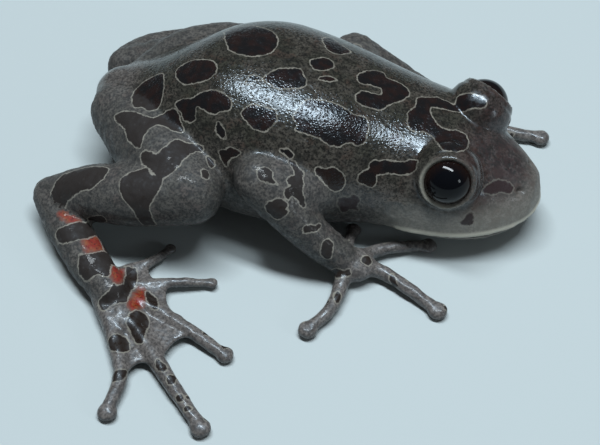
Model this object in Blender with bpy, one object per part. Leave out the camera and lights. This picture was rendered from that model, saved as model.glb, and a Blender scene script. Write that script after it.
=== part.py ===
"""A red-legged running frog, life size, resting in a low crouch with one hind leg stretched out.

Lengths are written in millimetres and scaled to metres. The nose points to +X, the frog's
left is +Y, and its belly, hands and feet rest on the plane Z = 0. The whole frog is modelled
as overlapping shapes, fused into one skin, and then parted where its limbs bend.
"""

import bmesh
import bpy
import numpy as np
from mathutils import Matrix, Vector

# Driving dimensions, in millimetres
BODY_LENGTH = 65.0
DRAWN_LENGTH = 65.0
EYE_RADIUS = 3.6
LID_THICKNESS = 0.9
SEAM = 0.3
MM = 0.001 * BODY_LENGTH / DRAWN_LENGTH

# Fineness of the surface
VOXEL = 0.4
SMOOTH_ROUNDS = 5
KEPT_BEHIND = 0.027
KEPT_AHEAD = 0.028
SHARP_ANGLE = 50.0
SIDES = 24
SHELL_SIDES = 32
SOCKET_SIDES = 18
PIT_SIDES = 10
RINGS_PER_MM = 1.2
WEB_FINENESS = (7, 9)

# The trunk and head, from vent to snout:
# x, y, height of the widest level, half width, rise above it, drop below it
BODY = (
    (-33.0, -1.2, 9.3, 1.0, 1.0, 1.0),
    (-32.0, -1.2, 9.3, 3.0, 2.4, 3.0),
    (-29.5, -1.4, 9.2, 4.8, 3.6, 5.4),
    (-25.0, -1.4, 9.0, 6.8, 5.9, 7.4),
    (-20.0, -1.0, 8.8, 9.6, 9.4, 8.9),
    (-14.0, -0.2, 8.6, 13.2, 12.7, 9.2),
    (-8.0, 0.1, 8.4, 15.3, 13.6, 9.1),
    (-2.0, 0.2, 8.2, 15.0, 13.2, 8.9),
    (4.0, 0.5, 8.0, 13.8, 12.1, 8.4),
    (9.0, 1.0, 7.4, 12.6, 11.0, 7.1),
    (14.0, 1.1, 6.4, 12.0, 10.7, 4.8),
    (19.0, 1.0, 5.6, 11.5, 10.5, 3.9),
    (23.5, 0.5, 5.3, 10.1, 9.0, 3.6),
    (27.5, 0.1, 5.3, 7.8, 6.6, 3.4),
    (30.5, -0.1, 5.7, 5.1, 4.7, 2.7),
    (32.2, -0.1, 6.3, 2.6, 2.7, 1.8),
    (32.7, -0.1, 6.6, 0.7, 0.9, 0.6),
)
BODY_SQUARENESS = 2.15

# The head: its features are placed from the midline, which turns a little to the right
HEAD_TURN = -5.5
HEAD_PIVOT = (20.7, 0.8)
EYE_PLACE = (0.6, 7.4, 13.4)
EYE_AIM = (0.28, 0.86, 0.42)
EYE_SINK = 1.6
LID_SINK = 1.0
NOSTRIL_PLACE = (9.3, 2.5, 9.2)
NOSTRIL_RADIUS = 0.42
EAR_PLACE = (-5.4, 10.6, 8.6)
EAR_RADIUS = 1.6
EAR_DEPTH = 0.4
PIT_AIM = (0.0, 1.0, 0.25)
MOUTH_HEIGHT = 4.6
MOUTH_BACK = 14.6
MOUTH_GROOVE = 0.36
MOUTH_DEPTH = 0.6
LIP_RADIUS = 0.55
LIP_INSET = 0.3

# Limb thicknesses, as radii spread evenly from root to tip
THIGH = (4.5, 5.7, 5.7, 4.6)
SHANK = (4.6, 4.5, 4.1, 2.9)
TARSUS = (2.9, 3.0, 3.0, 2.6)
UPPER_ARM = (3.4, 3.4, 3.5)
FOREARM = (3.5, 3.1, 2.7, 2.4)
PALM = (3.3, 2.8, 1.9)
PALM_SHIFT = (0.2, 0.0, 0.1)
TOE = (1.5, 1.25, 1.08, 0.95)
FINGER = (1.3, 1.05, 0.95, 0.9)
TOE_DISC = 1.44
FINGER_DISC = 1.45
DISC_FLATNESS = 0.66
TOE_SIZES = (0.68, 0.66, 0.92, 1.03, 1.0)
FINGER_SIZES = (0.85, 0.9, 1.0, 1.0)
SOLE = (3.8, 2.9, 1.6)
WEB_THICKNESS = 0.8
WEB_SAG = 0.16

# How far each cut reaches: inward from the bend, outward from it, and up and down
KNEE_CUT = (23.0, 7.0, 9.0)
HEEL_CUT = (13.0, 5.5, 6.0)
ELBOW_CUT = (13.0, 5.0, 6.0)
JOINT_DISC = 4.2
DIGIT_DISC = 1.5
NECK_ROW = 9
NECK_AHEAD = 3.0
NECK_RISE = 1.0
NECK_MARGIN = 0.6
TRUNK_SHELL = (SEAM * 2 / 3, SEAM * 5 / 3)
MOUTH_CLEARANCE = 0.6

# Where each limb bends and each digit runs, in millimetres
RIGHT = {
    "thigh": ((-28.0, -4.8, 9.2), (-22.2, -9.1, 9.6), (-17.2, -13.4, 10.4), (-12.8, -17.5, 11.0)),
    "shank": ((-12.8, -17.5, 11.0), (-20.8, -18.9, 9.2), (-28.0, -18.5, 6.8), (-33.5, -18.6, 4.3)),
    "tarsus": ((-33.5, -18.6, 4.3), (-29.3, -23.0, 3.5), (-24.8, -27.2, 3.0), (-20.2, -30.9, 2.5)),
    "sole": (-17.6, -33.4, 1.8),
    "toes": (
        ((-21.5, -28.5, 2.0), (-19.2, -25.8, 1.6), (-16.9, -23.5, 1.4), (-15.4, -20.3, 0.9)),
        ((-21.0, -30.0, 2.0), (-16.4, -27.7, 1.6), (-11.6, -25.7, 1.4), (-7.8, -24.3, 0.9)),
        ((-20.5, -31.0, 2.0), (-14.3, -31.2, 1.6), (-7.6, -33.3, 1.4), (-2.2, -35.2, 0.9)),
        ((-20.6, -31.4, 2.0), (-14.8, -35.4, 1.6), (-8.2, -41.3, 1.4), (-1.5, -47.1, 0.9)),
        ((-21.2, -31.8, 2.0), (-17.3, -37.2, 1.6), (-14.3, -42.6, 1.4), (-14.0, -48.4, 0.9)),
    ),
    "toe_cuts": (0.74, 0.72, 0.78, 0.7, 0.8),
    "webs": ((0.64, 0.5), (0.62, 0.62), (0.74, 0.62), (0.6, 0.72)),
    "upper_arm": ((5.5, -9.8, 9.6), (1.4, -13.2, 12.0), (-3.8, -14.8, 13.6)),
    "forearm": ((-3.8, -14.8, 13.6), (0.4, -15.8, 10.2), (4.4, -16.4, 6.6), (8.4, -16.3, 3.2)),
    "fingers": (
        ((9.2, -15.8, 2.0), (8.7, -13.6, 1.6), (8.4, -11.6, 1.3), (8.3, -9.4, 0.9)),
        ((9.8, -15.8, 2.0), (12.8, -12.4, 1.6), (16.0, -10.4, 1.3), (19.2, -9.0, 0.9)),
        ((10.0, -16.2, 2.0), (14.0, -15.9, 1.6), (18.8, -17.6, 1.3), (23.3, -19.6, 0.9)),
        ((9.3, -17.0, 2.0), (9.6, -20.3, 1.6), (9.2, -24.2, 1.3), (7.2, -28.0, 0.9)),
    ),
    "finger_cuts": (0.68, 0.44, 0.36, 0.4),
}
LEFT = {
    "thigh": ((-25.6, 3.2, 8.4), (-21.8, 6.6, 9.2), (-17.0, 9.4, 9.5), (-12.5, 12.4, 8.8)),
    "shank": ((-12.5, 12.4, 8.8), (-19.5, 10.3, 7.8), (-26.0, 9.0, 6.4), (-32.4, 7.9, 4.9)),
    "tarsus": ((-32.4, 7.9, 4.9), (-31.2, 12.0, 3.5), (-26.6, 15.9, 2.8), (-21.0, 17.6, 2.4)),
    "sole": (-17.4, 18.4, 1.8),
    "toes": (
        ((-20.8, 15.4, 2.0), (-19.6, 13.8, 1.6), (-18.2, 12.2, 1.3), (-16.8, 10.6, 0.9)),
        ((-20.6, 15.8, 2.0), (-16.0, 14.9, 1.6), (-11.6, 13.9, 1.4), (-7.4, 12.6, 0.9)),
        ((-20.4, 16.4, 2.0), (-14.0, 17.0, 1.6), (-7.4, 17.2, 1.4), (-0.6, 17.2, 0.9)),
        ((-20.4, 17.0, 2.0), (-13.0, 19.2, 1.6), (-4.4, 21.2, 1.4), (4.2, 22.0, 0.9)),
        ((-20.6, 17.6, 2.0), (-17.0, 20.2, 1.6), (-13.2, 22.4, 1.4), (-9.0, 24.2, 0.9)),
    ),
    "toe_cuts": (0.66, 0.68, 0.7, 0.66, 0.72),
    "webs": ((0.4, 0.3), (0.52, 0.46), (0.54, 0.46), (0.46, 0.56)),
    "upper_arm": ((5.5, 10.0, 9.0), (3.0, 13.4, 9.0), (0.8, 16.6, 8.6)),
    "forearm": ((0.8, 16.7, 8.6), (5.4, 16.6, 6.4), (10.0, 16.5, 4.3), (14.2, 16.1, 2.9)),
    "fingers": (
        ((15.2, 15.0, 1.9), (15.0, 13.0, 1.4), (15.0, 11.2, 1.1), (15.4, 9.2, 0.8)),
        ((15.6, 14.8, 2.0), (18.8, 12.7, 1.6), (22.2, 11.2, 1.3), (25.4, 9.9, 0.9)),
        ((15.6, 15.4, 2.0), (20.6, 15.5, 1.6), (25.4, 15.2, 1.3), (30.0, 15.8, 0.9)),
        ((15.2, 16.2, 2.0), (16.8, 18.0, 1.6), (18.4, 19.4, 1.3), (20.2, 20.5, 0.9)),
    ),
    "finger_cuts": (0.66, 0.46, 0.4, 0.62),
}

# Looks
SKIN_COLOUR = (0.105, 0.095, 0.085, 1.0)
SKIN_ROUGHNESS = 0.35
EYE_COLOUR = (0.012, 0.012, 0.016, 1.0)
EYE_ROUGHNESS = 0.08


def clear_scene():
    """Removes what the scene holds."""
    for obj in list(bpy.data.objects):
        bpy.data.objects.remove(obj, do_unlink=True)


def smooth_rows(rows, count):
    """Rows of numbers along a path, filled in by a smooth curve through them."""
    rows = np.array(rows, dtype=float)
    steps = np.linalg.norm(np.diff(rows[:, :3], axis=0), axis=1)
    length = np.concatenate([[0.0], np.cumsum(steps)])
    slopes = np.gradient(rows, length, axis=0)
    where = np.linspace(0.0, length[-1], count)
    start = np.clip(np.searchsorted(length, where, side="right") - 1, 0, len(rows) - 2)
    span = (length[start + 1] - length[start])[:, None]
    t = (where - length[start])[:, None] / span
    return (
        (1 + 2 * t) * (1 - t) ** 2 * rows[start]
        + t * (1 - t) ** 2 * span * slopes[start]
        + t**2 * (3 - 2 * t) * rows[start + 1]
        + t**2 * (t - 1) * span * slopes[start + 1]
    )


def path_length(points):
    """The length of the broken line through these points."""
    return float(np.linalg.norm(np.diff(np.array(points, dtype=float), axis=0), axis=1).sum())


def radii_along(points, radii):
    """Rows of x, y, z and radius: the radii spread evenly over the path."""
    count = max(4, int(path_length(points) * RINGS_PER_MM))
    path = smooth_rows(points, count)
    spread = np.interp(np.linspace(0, 1, count), np.linspace(0, 1, len(radii)), radii)
    return np.column_stack([path, spread])


def add_rings(mesh, rings):
    """Joins closed rings of points into one closed surface with flat ends."""
    rows = [[mesh.verts.new(Vector(point) * MM) for point in ring] for ring in rings]
    sides = len(rows[0])
    for low, high in zip(rows, rows[1:]):
        for i in range(sides):
            j = (i + 1) % sides
            mesh.faces.new((low[i], low[j], high[j], high[i]))
    mesh.faces.new(rows[0][::-1])
    mesh.faces.new(rows[-1])


def add_ball(mesh, centre, radii, turn=None, sides=SIDES):
    """An ellipsoid with these radii along X, Y and Z, turned by a matrix."""
    turn = np.array(turn or Matrix.Identity(3))
    longitudes = np.linspace(0, 2 * np.pi, sides, endpoint=False)
    latitudes = np.radians(np.linspace(-88.0, 88.0, sides // 2 + 1))
    rings = []
    for latitude in latitudes:
        x = radii[0] * np.cos(latitude) * np.cos(longitudes)
        y = radii[1] * np.cos(latitude) * np.sin(longitudes)
        z = np.full(sides, radii[2] * np.sin(latitude))
        rings.append(np.array(centre) + np.column_stack([x, y, z]) @ turn.T)
    add_rings(mesh, rings)


def add_tube(mesh, rows):
    """A round tube with round ends, through rows of x, y, z and radius."""
    path = rows[:, :3]
    along = np.gradient(path, axis=0)
    along /= np.linalg.norm(along, axis=1)[:, None]
    side = np.cross((0.0, 0.0, 1.0), along)
    side /= np.linalg.norm(side, axis=1)[:, None]
    over = np.cross(along, side)
    angles = np.linspace(0, 2 * np.pi, SIDES, endpoint=False)
    rings = []
    for point, radius, right, up in zip(path, rows[:, 3], side, over):
        rings.append([point + radius * (np.cos(a) * right + np.sin(a) * up) for a in angles])
    add_rings(mesh, rings)
    for end in (0, -1):
        add_ball(mesh, path[end], (rows[end, 3],) * 3)


def body_rows(growth=0.0, rings_per_mm=RINGS_PER_MM):
    """The trunk and head as smooth rows, made thicker all over by the growth."""
    rows = smooth_rows(BODY, int(DRAWN_LENGTH * rings_per_mm))
    rows[:, 3:] += growth
    rows[0, 0] -= growth
    rows[-1, 0] += growth
    return rows


def add_body(mesh, growth=0.0, rings_per_mm=RINGS_PER_MM, sides=2 * SIDES):
    """The trunk and head, lofted through sections that are fuller than an ellipse."""
    angles = np.linspace(0, 2 * np.pi, sides, endpoint=False)
    power = 2 / BODY_SQUARENESS
    across = np.sign(np.cos(angles)) * np.abs(np.cos(angles)) ** power
    height = np.sign(np.sin(angles)) * np.abs(np.sin(angles)) ** power
    rings = []
    for x, y, z, half_width, rise, drop in body_rows(growth, rings_per_mm):
        tall = np.where(height > 0, rise, drop)
        points = np.column_stack([np.full(len(angles), x), y + half_width * across, z + tall * height])
        rings.append(points)
    add_rings(mesh, rings)


def head_point(place, side):
    """A point given from the head's pivot on the midline, with side 1 for left and -1 for right."""
    ahead, out, height = place
    turned = Matrix.Rotation(np.radians(HEAD_TURN), 3, "Z") @ Vector((ahead, side * out, 0.0))
    return Vector((HEAD_PIVOT[0] + turned.x, HEAD_PIVOT[1] + turned.y, height))


def head_direction(aim, side):
    """A direction given in the head's own frame."""
    turned = Matrix.Rotation(np.radians(HEAD_TURN), 3, "Z") @ Vector((aim[0], side * aim[1], aim[2]))
    return turned.normalized()


def lip_points(outward):
    """The line of the mouth from the right jaw round the snout to the left, shifted outward."""
    rows = body_rows()
    rows = rows[rows[:, 0] > MOUTH_BACK][::3]
    right = [(x, y - width, MOUTH_HEIGHT) for x, y, _, width, _, _ in rows]
    left = [(x, y + width, MOUTH_HEIGHT) for x, y, _, width, _, _ in rows[::-1]]
    line = smooth_rows(right + left, 4 * len(rows))
    along = np.gradient(line, axis=0)
    along /= np.linalg.norm(along, axis=1)[:, None]
    out = np.cross(along, (0.0, 0.0, 1.0))
    return line + outward * out


def add_head_details(mesh):
    """The domes of the eyelids and the swelling of the upper lip."""
    for side in (-1, 1):
        aim = head_direction(EYE_AIM, side)
        centre = head_point(EYE_PLACE, side) - LID_SINK * aim
        add_ball(mesh, centre, (EYE_RADIUS + SEAM + LID_THICKNESS,) * 3)
    line = lip_points(-LIP_INSET) + np.array((0.0, 0.0, LIP_RADIUS + MOUTH_GROOVE / 2))
    add_tube(mesh, np.column_stack([line, np.full(len(line), LIP_RADIUS)]))


def add_web(mesh, first, second, reaches):
    """A thin skin between two toes, with a hollow free edge."""
    across, along = WEB_FINENESS
    rows = []
    for u in np.linspace(0, 1, across):
        reach = (1 - u) * reaches[0] + u * reaches[1] - WEB_SAG * 4 * u * (1 - u) * min(reaches)
        row = []
        for s in np.linspace(0, reach, along):
            spot = (1 - u) * point_along(first, s) + u * point_along(second, s)
            row.append(spot)
        rows.append(row)
    lift = np.array((0.0, 0.0, WEB_THICKNESS / 2))
    rings = []
    for row in rows:
        rings.append([point + lift for point in row] + [point - lift for point in row[::-1]])
    add_rings(mesh, rings)


def point_along(points, share):
    """The point at this share of a digit's path."""
    return smooth_rows(points, 101)[int(round(share * 100))]


def add_digit(mesh, points, radii, disc, size):
    """A finger or toe, with the round pad at its tip."""
    add_tube(mesh, radii_along(points, [size * radius for radius in radii]))
    add_ball(mesh, points[-1], (size * disc, size * disc, size * disc * DISC_FLATNESS))


def add_sole(mesh, pose):
    """The flesh that joins the roots of the longer toes."""
    start, end = (np.array(pose["toes"][3][i]) for i in (0, 2))
    heading = np.arctan2(end[1] - start[1], end[0] - start[0])
    add_ball(mesh, pose["sole"], SOLE, Matrix.Rotation(heading, 3, "Z"))


def add_limbs(mesh, pose):
    """The arm, hand, leg and foot of one side."""
    add_tube(mesh, radii_along(pose["thigh"], THIGH))
    add_tube(mesh, radii_along(pose["shank"], SHANK))
    add_tube(mesh, radii_along(pose["tarsus"], TARSUS))
    for toe, size in zip(pose["toes"], TOE_SIZES):
        add_digit(mesh, toe, TOE, TOE_DISC, size)
    for first, second, reaches in zip(pose["toes"], pose["toes"][1:], pose["webs"]):
        add_web(mesh, first, second, reaches)
    add_sole(mesh, pose)
    add_tube(mesh, radii_along(pose["upper_arm"], UPPER_ARM))
    add_tube(mesh, radii_along(pose["forearm"], FOREARM))
    add_ball(mesh, np.array(pose["fingers"][2][0]) + PALM_SHIFT, PALM)
    for finger, size in zip(pose["fingers"], FINGER_SIZES):
        add_digit(mesh, finger, FINGER, FINGER_DISC, size)


def new_object(name, mesh, visible=True):
    """An object from this bmesh, which is freed; a helper is left out of renders."""
    bmesh.ops.recalc_face_normals(mesh, faces=mesh.faces)
    data = bpy.data.meshes.new(name)
    mesh.to_mesh(data)
    mesh.free()
    obj = bpy.data.objects.new(name, data)
    bpy.context.scene.collection.objects.link(obj)
    if not visible:
        obj.hide_render = True
        obj.display_type = "WIRE"
    return obj


def apply_modifiers(obj):
    """Turns what the modifiers make into the object's own mesh."""
    graph = bpy.context.evaluated_depsgraph_get()
    made = bpy.data.meshes.new_from_object(obj.evaluated_get(graph))
    obj.modifiers.clear()
    obj.data = made


def fused_skin():
    """The whole frog as one smooth closed surface, finer on the head."""
    mesh = bmesh.new()
    add_body(mesh)
    add_head_details(mesh)
    for pose in (RIGHT, LEFT):
        add_limbs(mesh, pose)
    frog = new_object("frog", mesh)
    remesh = frog.modifiers.new("fuse", "REMESH")
    remesh.mode = "VOXEL"
    remesh.voxel_size = VOXEL * MM
    relax = frog.modifiers.new("relax", "SMOOTH")
    relax.factor = 0.5
    relax.iterations = SMOOTH_ROUNDS
    apply_modifiers(frog)
    neck = BODY[NECK_ROW][0] * MM
    thin(frog, [v.index for v in frog.data.vertices if v.co.x < neck], KEPT_BEHIND)
    thin(frog, [v.index for v in frog.data.vertices if v.co.x >= neck], KEPT_AHEAD)
    return frog


def thin(obj, chosen, kept):
    """Keeps this share of the faces round the chosen vertices, and every face elsewhere."""
    inside = set(chosen)
    among = sum(1 for face in obj.data.polygons if all(v in inside for v in face.vertices))
    group = obj.vertex_groups.new(name="thin")
    group.add(chosen, 1.0, "REPLACE")
    step = obj.modifiers.new("thin", "DECIMATE")
    step.ratio = 1 - (1 - kept) * among / len(obj.data.polygons)
    step.vertex_group = group.name
    apply_modifiers(obj)
    obj.vertex_groups.clear()


def box_cutter(name, size, place):
    """A box of this size, placed by a matrix in millimetres."""
    mesh = bmesh.new()
    scale = Matrix.Diagonal((size[0] * MM, size[1] * MM, size[2] * MM, 1.0))
    where = place.copy()
    where.translation = place.translation * MM
    bmesh.ops.create_cube(mesh, size=1.0, matrix=where @ scale)
    return new_object(name, mesh, visible=False)


def disc_cutter(name, centre, direction, radius):
    """A thin disc across a limb."""
    mesh = bmesh.new()
    turn = Vector(direction).to_track_quat("Z", "Y").to_matrix().to_4x4()
    place = Matrix.Translation(Vector(centre) * MM) @ turn
    bmesh.ops.create_cone(
        mesh,
        cap_ends=True,
        segments=SOCKET_SIDES,
        radius1=radius * MM,
        radius2=radius * MM,
        depth=SEAM * MM,
        matrix=place,
    )
    return new_object(name, mesh, visible=False)


def bend_cutter(name, root, joint, tip, reach):
    """A thin sheet through a bend, which parts the two lengths that meet there."""
    inward, outward, half_height = reach
    joint = Vector(joint)
    to_root = (Vector(root) - joint).normalized()
    to_tip = (Vector(tip) - joint).normalized()
    inside = (to_root + to_tip).normalized()
    normal = (to_tip - to_root).normalized()
    upward = normal.cross(inside)
    turn = Matrix((inside, upward, normal)).transposed().to_4x4()
    middle = joint + inside * (inward - outward) / 2
    return box_cutter(name, (inward + outward, 2 * half_height, SEAM), Matrix.Translation(middle) @ turn)


def cut(obj, cutters):
    """Cuts the object by each cutter, then removes the cutters."""
    for cutter in cutters:
        step = obj.modifiers.new(cutter.name, "BOOLEAN")
        step.operation = "DIFFERENCE"
        step.solver = "MANIFOLD"
        step.object = cutter
    apply_modifiers(obj)
    for cutter in cutters:
        bpy.data.objects.remove(cutter, do_unlink=True)


def trunk_cutter():
    """A thin shell round the trunk, which parts the limbs from it."""
    mesh = bmesh.new()
    add_body(mesh, TRUNK_SHELL[1], RINGS_PER_MM / 2, SHELL_SIDES)
    shell = new_object("trunk_shell", mesh, visible=False)
    mesh = bmesh.new()
    add_body(mesh, TRUNK_SHELL[0], RINGS_PER_MM / 2, SHELL_SIDES)
    core = new_object("trunk_core", mesh, visible=False)
    reach = 2 * DRAWN_LENGTH
    start = MOUTH_BACK - MOUTH_CLEARANCE
    ahead = box_cutter("ahead_of_trunk", (reach,) * 3, Matrix.Translation((start + reach / 2, 0, 0)))
    cut(shell, [core, ahead])
    return shell


def floor_cutter():
    """Everything under the plane that the frog rests on."""
    reach = 3 * DRAWN_LENGTH
    return box_cutter("floor", (reach, reach, reach), Matrix.Translation((0, 0, -reach / 2)))


def eye_cutters(side):
    """The socket round an eyeball, and the opening between its lids."""
    aim = head_direction(EYE_AIM, side)
    centre = head_point(EYE_PLACE, side)
    mesh = bmesh.new()
    add_ball(mesh, centre, (EYE_RADIUS + SEAM,) * 3, sides=SOCKET_SIDES)
    socket = new_object("socket", mesh, visible=False)
    depth = 2 * EYE_RADIUS
    opening_radius = (EYE_RADIUS**2 - EYE_SINK**2) ** 0.5 + SEAM / 2
    mesh = bmesh.new()
    turn = aim.to_track_quat("Z", "Y").to_matrix().to_4x4()
    place = Matrix.Translation((centre + aim * (EYE_SINK + depth / 2)) * MM) @ turn
    bmesh.ops.create_cone(
        mesh,
        cap_ends=True,
        segments=SIDES,
        radius1=opening_radius * MM,
        radius2=(opening_radius + depth / 2) * MM,
        depth=depth * MM,
        matrix=place,
    )
    return [socket, new_object("lids_opening", mesh, visible=False)]


def pit_cutter(name, frog, place, side, radii):
    """A small hollow where a line out of the side of the head leaves its skin."""
    outward = head_direction(PIT_AIM, side)
    start = (head_point(place, side) + outward * 2 * EYE_RADIUS) * MM
    _, centre, normal, _ = frog.ray_cast(start, -outward)
    turn = normal.to_track_quat("Z", "Y").to_matrix()
    mesh = bmesh.new()
    add_ball(mesh, centre / MM, radii, turn, PIT_SIDES)
    return new_object(name, mesh, visible=False)


def mouth_cutter():
    """A thin band that follows the line of the mouth."""
    line = lip_points(-MOUTH_DEPTH)
    outer = lip_points(2.0)
    half = MOUTH_GROOVE / 2
    rings = []
    for inner_point, outer_point in zip(line, outer):
        low, high = np.array((0, 0, -half)), np.array((0, 0, half))
        rings.append([inner_point + low, outer_point + low, outer_point + high, inner_point + high])
    mesh = bmesh.new()
    add_rings(mesh, rings)
    return new_object("mouth", mesh, visible=False)


def head_cutters(frog):
    """Eye openings, nostrils, ears and the line of the mouth."""
    cutters = [mouth_cutter()]
    for side in (-1, 1):
        cutters += eye_cutters(side)
        cutters.append(pit_cutter("nostril", frog, NOSTRIL_PLACE, side, (NOSTRIL_RADIUS,) * 3))
        cutters.append(pit_cutter("ear", frog, EAR_PLACE, side, (EAR_RADIUS, EAR_RADIUS, EAR_DEPTH)))
    return cutters


def digit_cutters(name, digits, shares, radii):
    """A thin disc across each digit, where it leaves the hand or foot."""
    cutters = []
    for number, (digit, share) in enumerate(zip(digits, shares), 1):
        centre = point_along(digit, share)
        direction = point_along(digit, min(share + 0.05, 1)) - point_along(digit, share - 0.05)
        cutters.append(disc_cutter(f"{name}_{number}", centre, direction, DIGIT_DISC * radii[1]))
    return cutters


def limb_cutters(side, pose):
    """The cuts at knee, heel, ankle, elbow, wrist and digits of one side."""
    knee, heel = pose["shank"][0], pose["shank"][-1]
    elbow, wrist = pose["forearm"][0], pose["forearm"][-1]
    ankle = np.array(pose["tarsus"][2])
    ankle_way = np.array(pose["tarsus"][3]) - np.array(pose["tarsus"][1])
    wrist_way = np.array(pose["forearm"][3]) - np.array(pose["forearm"][2])
    cutters = [
        bend_cutter(side + "_knee", pose["thigh"][2], knee, pose["shank"][1], KNEE_CUT),
        bend_cutter(side + "_heel", pose["shank"][2], heel, pose["tarsus"][1], HEEL_CUT),
        disc_cutter(side + "_ankle", ankle, ankle_way, JOINT_DISC),
        bend_cutter(side + "_elbow", pose["upper_arm"][1], elbow, pose["forearm"][1], ELBOW_CUT),
        disc_cutter(side + "_wrist", wrist, wrist_way, JOINT_DISC),
    ]
    cutters += digit_cutters(side + "_toe", pose["toes"], pose["toe_cuts"], TOE)
    cutters += digit_cutters(side + "_finger", pose["fingers"], pose["finger_cuts"], FINGER)
    return cutters


def neck_cutter():
    """A thin disc behind the jaws, square to the head's midline."""
    row = BODY[NECK_ROW]
    direction = head_direction((1.0, 0.0, 0.0), 1)
    place = (row[0] + NECK_AHEAD, row[1], row[2] + NECK_RISE)
    return disc_cutter("neck", place, direction, row[3] + NECK_MARGIN)


def node_markers():
    """A point inside each node, which tells its piece from the others."""
    markers = {
        "head": (HEAD_PIVOT[0] + EYE_RADIUS, HEAD_PIVOT[1], MOUTH_HEIGHT),
        "torso": (BODY[6][0], 0.0, BODY[6][2] + BODY[6][4]),
    }
    for side, pose in (("right", RIGHT), ("left", LEFT)):
        markers[side + "_thigh"] = np.array(pose["thigh"][2]) + (0.0, 0.0, THIGH[2])
        markers[side + "_shank"] = pose["shank"][2]
        markers[side + "_tarsus"] = pose["tarsus"][1]
        markers[side + "_foot"] = pose["toes"][3][1]
        markers[side + "_upper_arm"] = np.array(pose["upper_arm"][1]) + (0.0, 0.0, UPPER_ARM[1])
        markers[side + "_forearm"] = pose["forearm"][2]
        markers[side + "_hand"] = pose["fingers"][2][0]
        for number, toe in enumerate(pose["toes"], 1):
            markers[f"{side}_toe_{number}"] = toe[-1]
        for number, finger in enumerate(pose["fingers"], 1):
            markers[f"{side}_finger_{number}"] = finger[-1]
    return markers


def loose_pieces(obj):
    """The connected pieces of a mesh, each as a set of vertex numbers."""
    mesh = bmesh.new()
    mesh.from_mesh(obj.data)
    unseen = set(mesh.verts)
    pieces = []
    while unseen:
        edge = [unseen.pop()]
        piece = set(edge)
        while edge:
            vertex = edge.pop()
            for link in vertex.link_edges:
                other = link.other_vert(vertex)
                if other in unseen:
                    unseen.remove(other)
                    piece.add(other)
                    edge.append(other)
        pieces.append({vertex.index for vertex in piece})
    mesh.free()
    return pieces


def part_into_nodes(frog):
    """One object for each marker, from the piece left whose surface is nearest to it."""
    pieces = loose_pieces(frog)
    points = np.array([tuple(vertex.co) for vertex in frog.data.vertices]) / MM
    for name, marker in node_markers().items():
        gaps = [np.linalg.norm(points[sorted(piece)] - np.array(marker), axis=1).min() for piece in pieces]
        keep = pieces.pop(int(np.argmin(gaps)))
        mesh = bmesh.new()
        mesh.from_mesh(frog.data)
        others = [vertex for vertex in mesh.verts if vertex.index not in keep]
        bmesh.ops.delete(mesh, geom=others, context="VERTS")
        bmesh.ops.triangulate(mesh, faces=mesh.faces)
        node = new_object(name, mesh)
        dress(node, SKIN_COLOUR, SKIN_ROUGHNESS)
    bpy.data.objects.remove(frog, do_unlink=True)


def dress(obj, colour, roughness):
    """Smooth shading and a material of its own."""
    obj.data.shade_smooth()
    obj.data.set_sharp_from_angle(angle=np.radians(SHARP_ANGLE))
    material = bpy.data.materials.new(obj.name + "_look")
    material.use_nodes = True
    surface = material.node_tree.nodes["Principled BSDF"]
    surface.inputs["Base Color"].default_value = colour
    surface.inputs["Roughness"].default_value = roughness
    surface.inputs["Metallic"].default_value = 0.0
    obj.data.materials.clear()
    obj.data.materials.append(material)


def make_eyes():
    """An eyeball in each socket."""
    for name, side in (("right_eye", -1), ("left_eye", 1)):
        mesh = bmesh.new()
        add_ball(mesh, head_point(EYE_PLACE, side), (EYE_RADIUS,) * 3, sides=SOCKET_SIDES)
        dress(new_object(name, mesh), EYE_COLOUR, EYE_ROUGHNESS)


def main():
    clear_scene()
    frog = fused_skin()
    cut(frog, [floor_cutter(), *head_cutters(frog)])
    cutters = [trunk_cutter(), neck_cutter()]
    cutters += limb_cutters("right", RIGHT)
    cutters += limb_cutters("left", LEFT)
    cut(frog, cutters)
    part_into_nodes(frog)
    make_eyes()


main()
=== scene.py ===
"""The looks of a red-legged running frog: one moist, granular skin with its markings, two dark
wet eyes, a plain pale floor and soft light, mostly from above.

Lengths are written in millimetres and scaled to metres. Markings that the photograph shows are
placed by its pixels, on the skin that carries them. The others repeat those or are made up.
"""

import bmesh
import bpy
import numpy as np
from mathutils import Matrix, Quaternion, Vector, bvhtree, kdtree, noise

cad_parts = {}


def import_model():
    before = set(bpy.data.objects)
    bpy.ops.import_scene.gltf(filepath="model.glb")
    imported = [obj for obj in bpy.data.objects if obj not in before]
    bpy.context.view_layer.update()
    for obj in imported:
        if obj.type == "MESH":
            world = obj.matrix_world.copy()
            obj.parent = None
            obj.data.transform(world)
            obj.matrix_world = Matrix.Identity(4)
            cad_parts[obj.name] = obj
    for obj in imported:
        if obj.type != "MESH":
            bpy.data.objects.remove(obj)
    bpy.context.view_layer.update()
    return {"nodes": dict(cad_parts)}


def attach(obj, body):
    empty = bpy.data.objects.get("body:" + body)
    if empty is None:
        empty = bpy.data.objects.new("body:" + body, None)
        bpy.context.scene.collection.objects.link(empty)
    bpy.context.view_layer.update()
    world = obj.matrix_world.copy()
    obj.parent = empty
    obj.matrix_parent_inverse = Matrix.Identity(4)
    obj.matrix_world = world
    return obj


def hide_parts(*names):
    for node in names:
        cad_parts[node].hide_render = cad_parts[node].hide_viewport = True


# Driving dimensions, in millimetres
BODY_LENGTH = 65.0
DRAWN_LENGTH = 65.0
EYE_RADIUS = 3.6
LID_THICKNESS = 0.9
LID_SINK = 1.0
SEAM = 0.3
MM = 0.001 * BODY_LENGTH / DRAWN_LENGTH

# Fineness of the surface: the size of its faces, how often it is smoothed when it is fused and
# when the lids are cut, and how far each round goes
VOXEL = 0.24
SMOOTH_ROUNDS = 8
LID_ROUNDS = 2
SMOOTH_SHARE = 0.5

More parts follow.
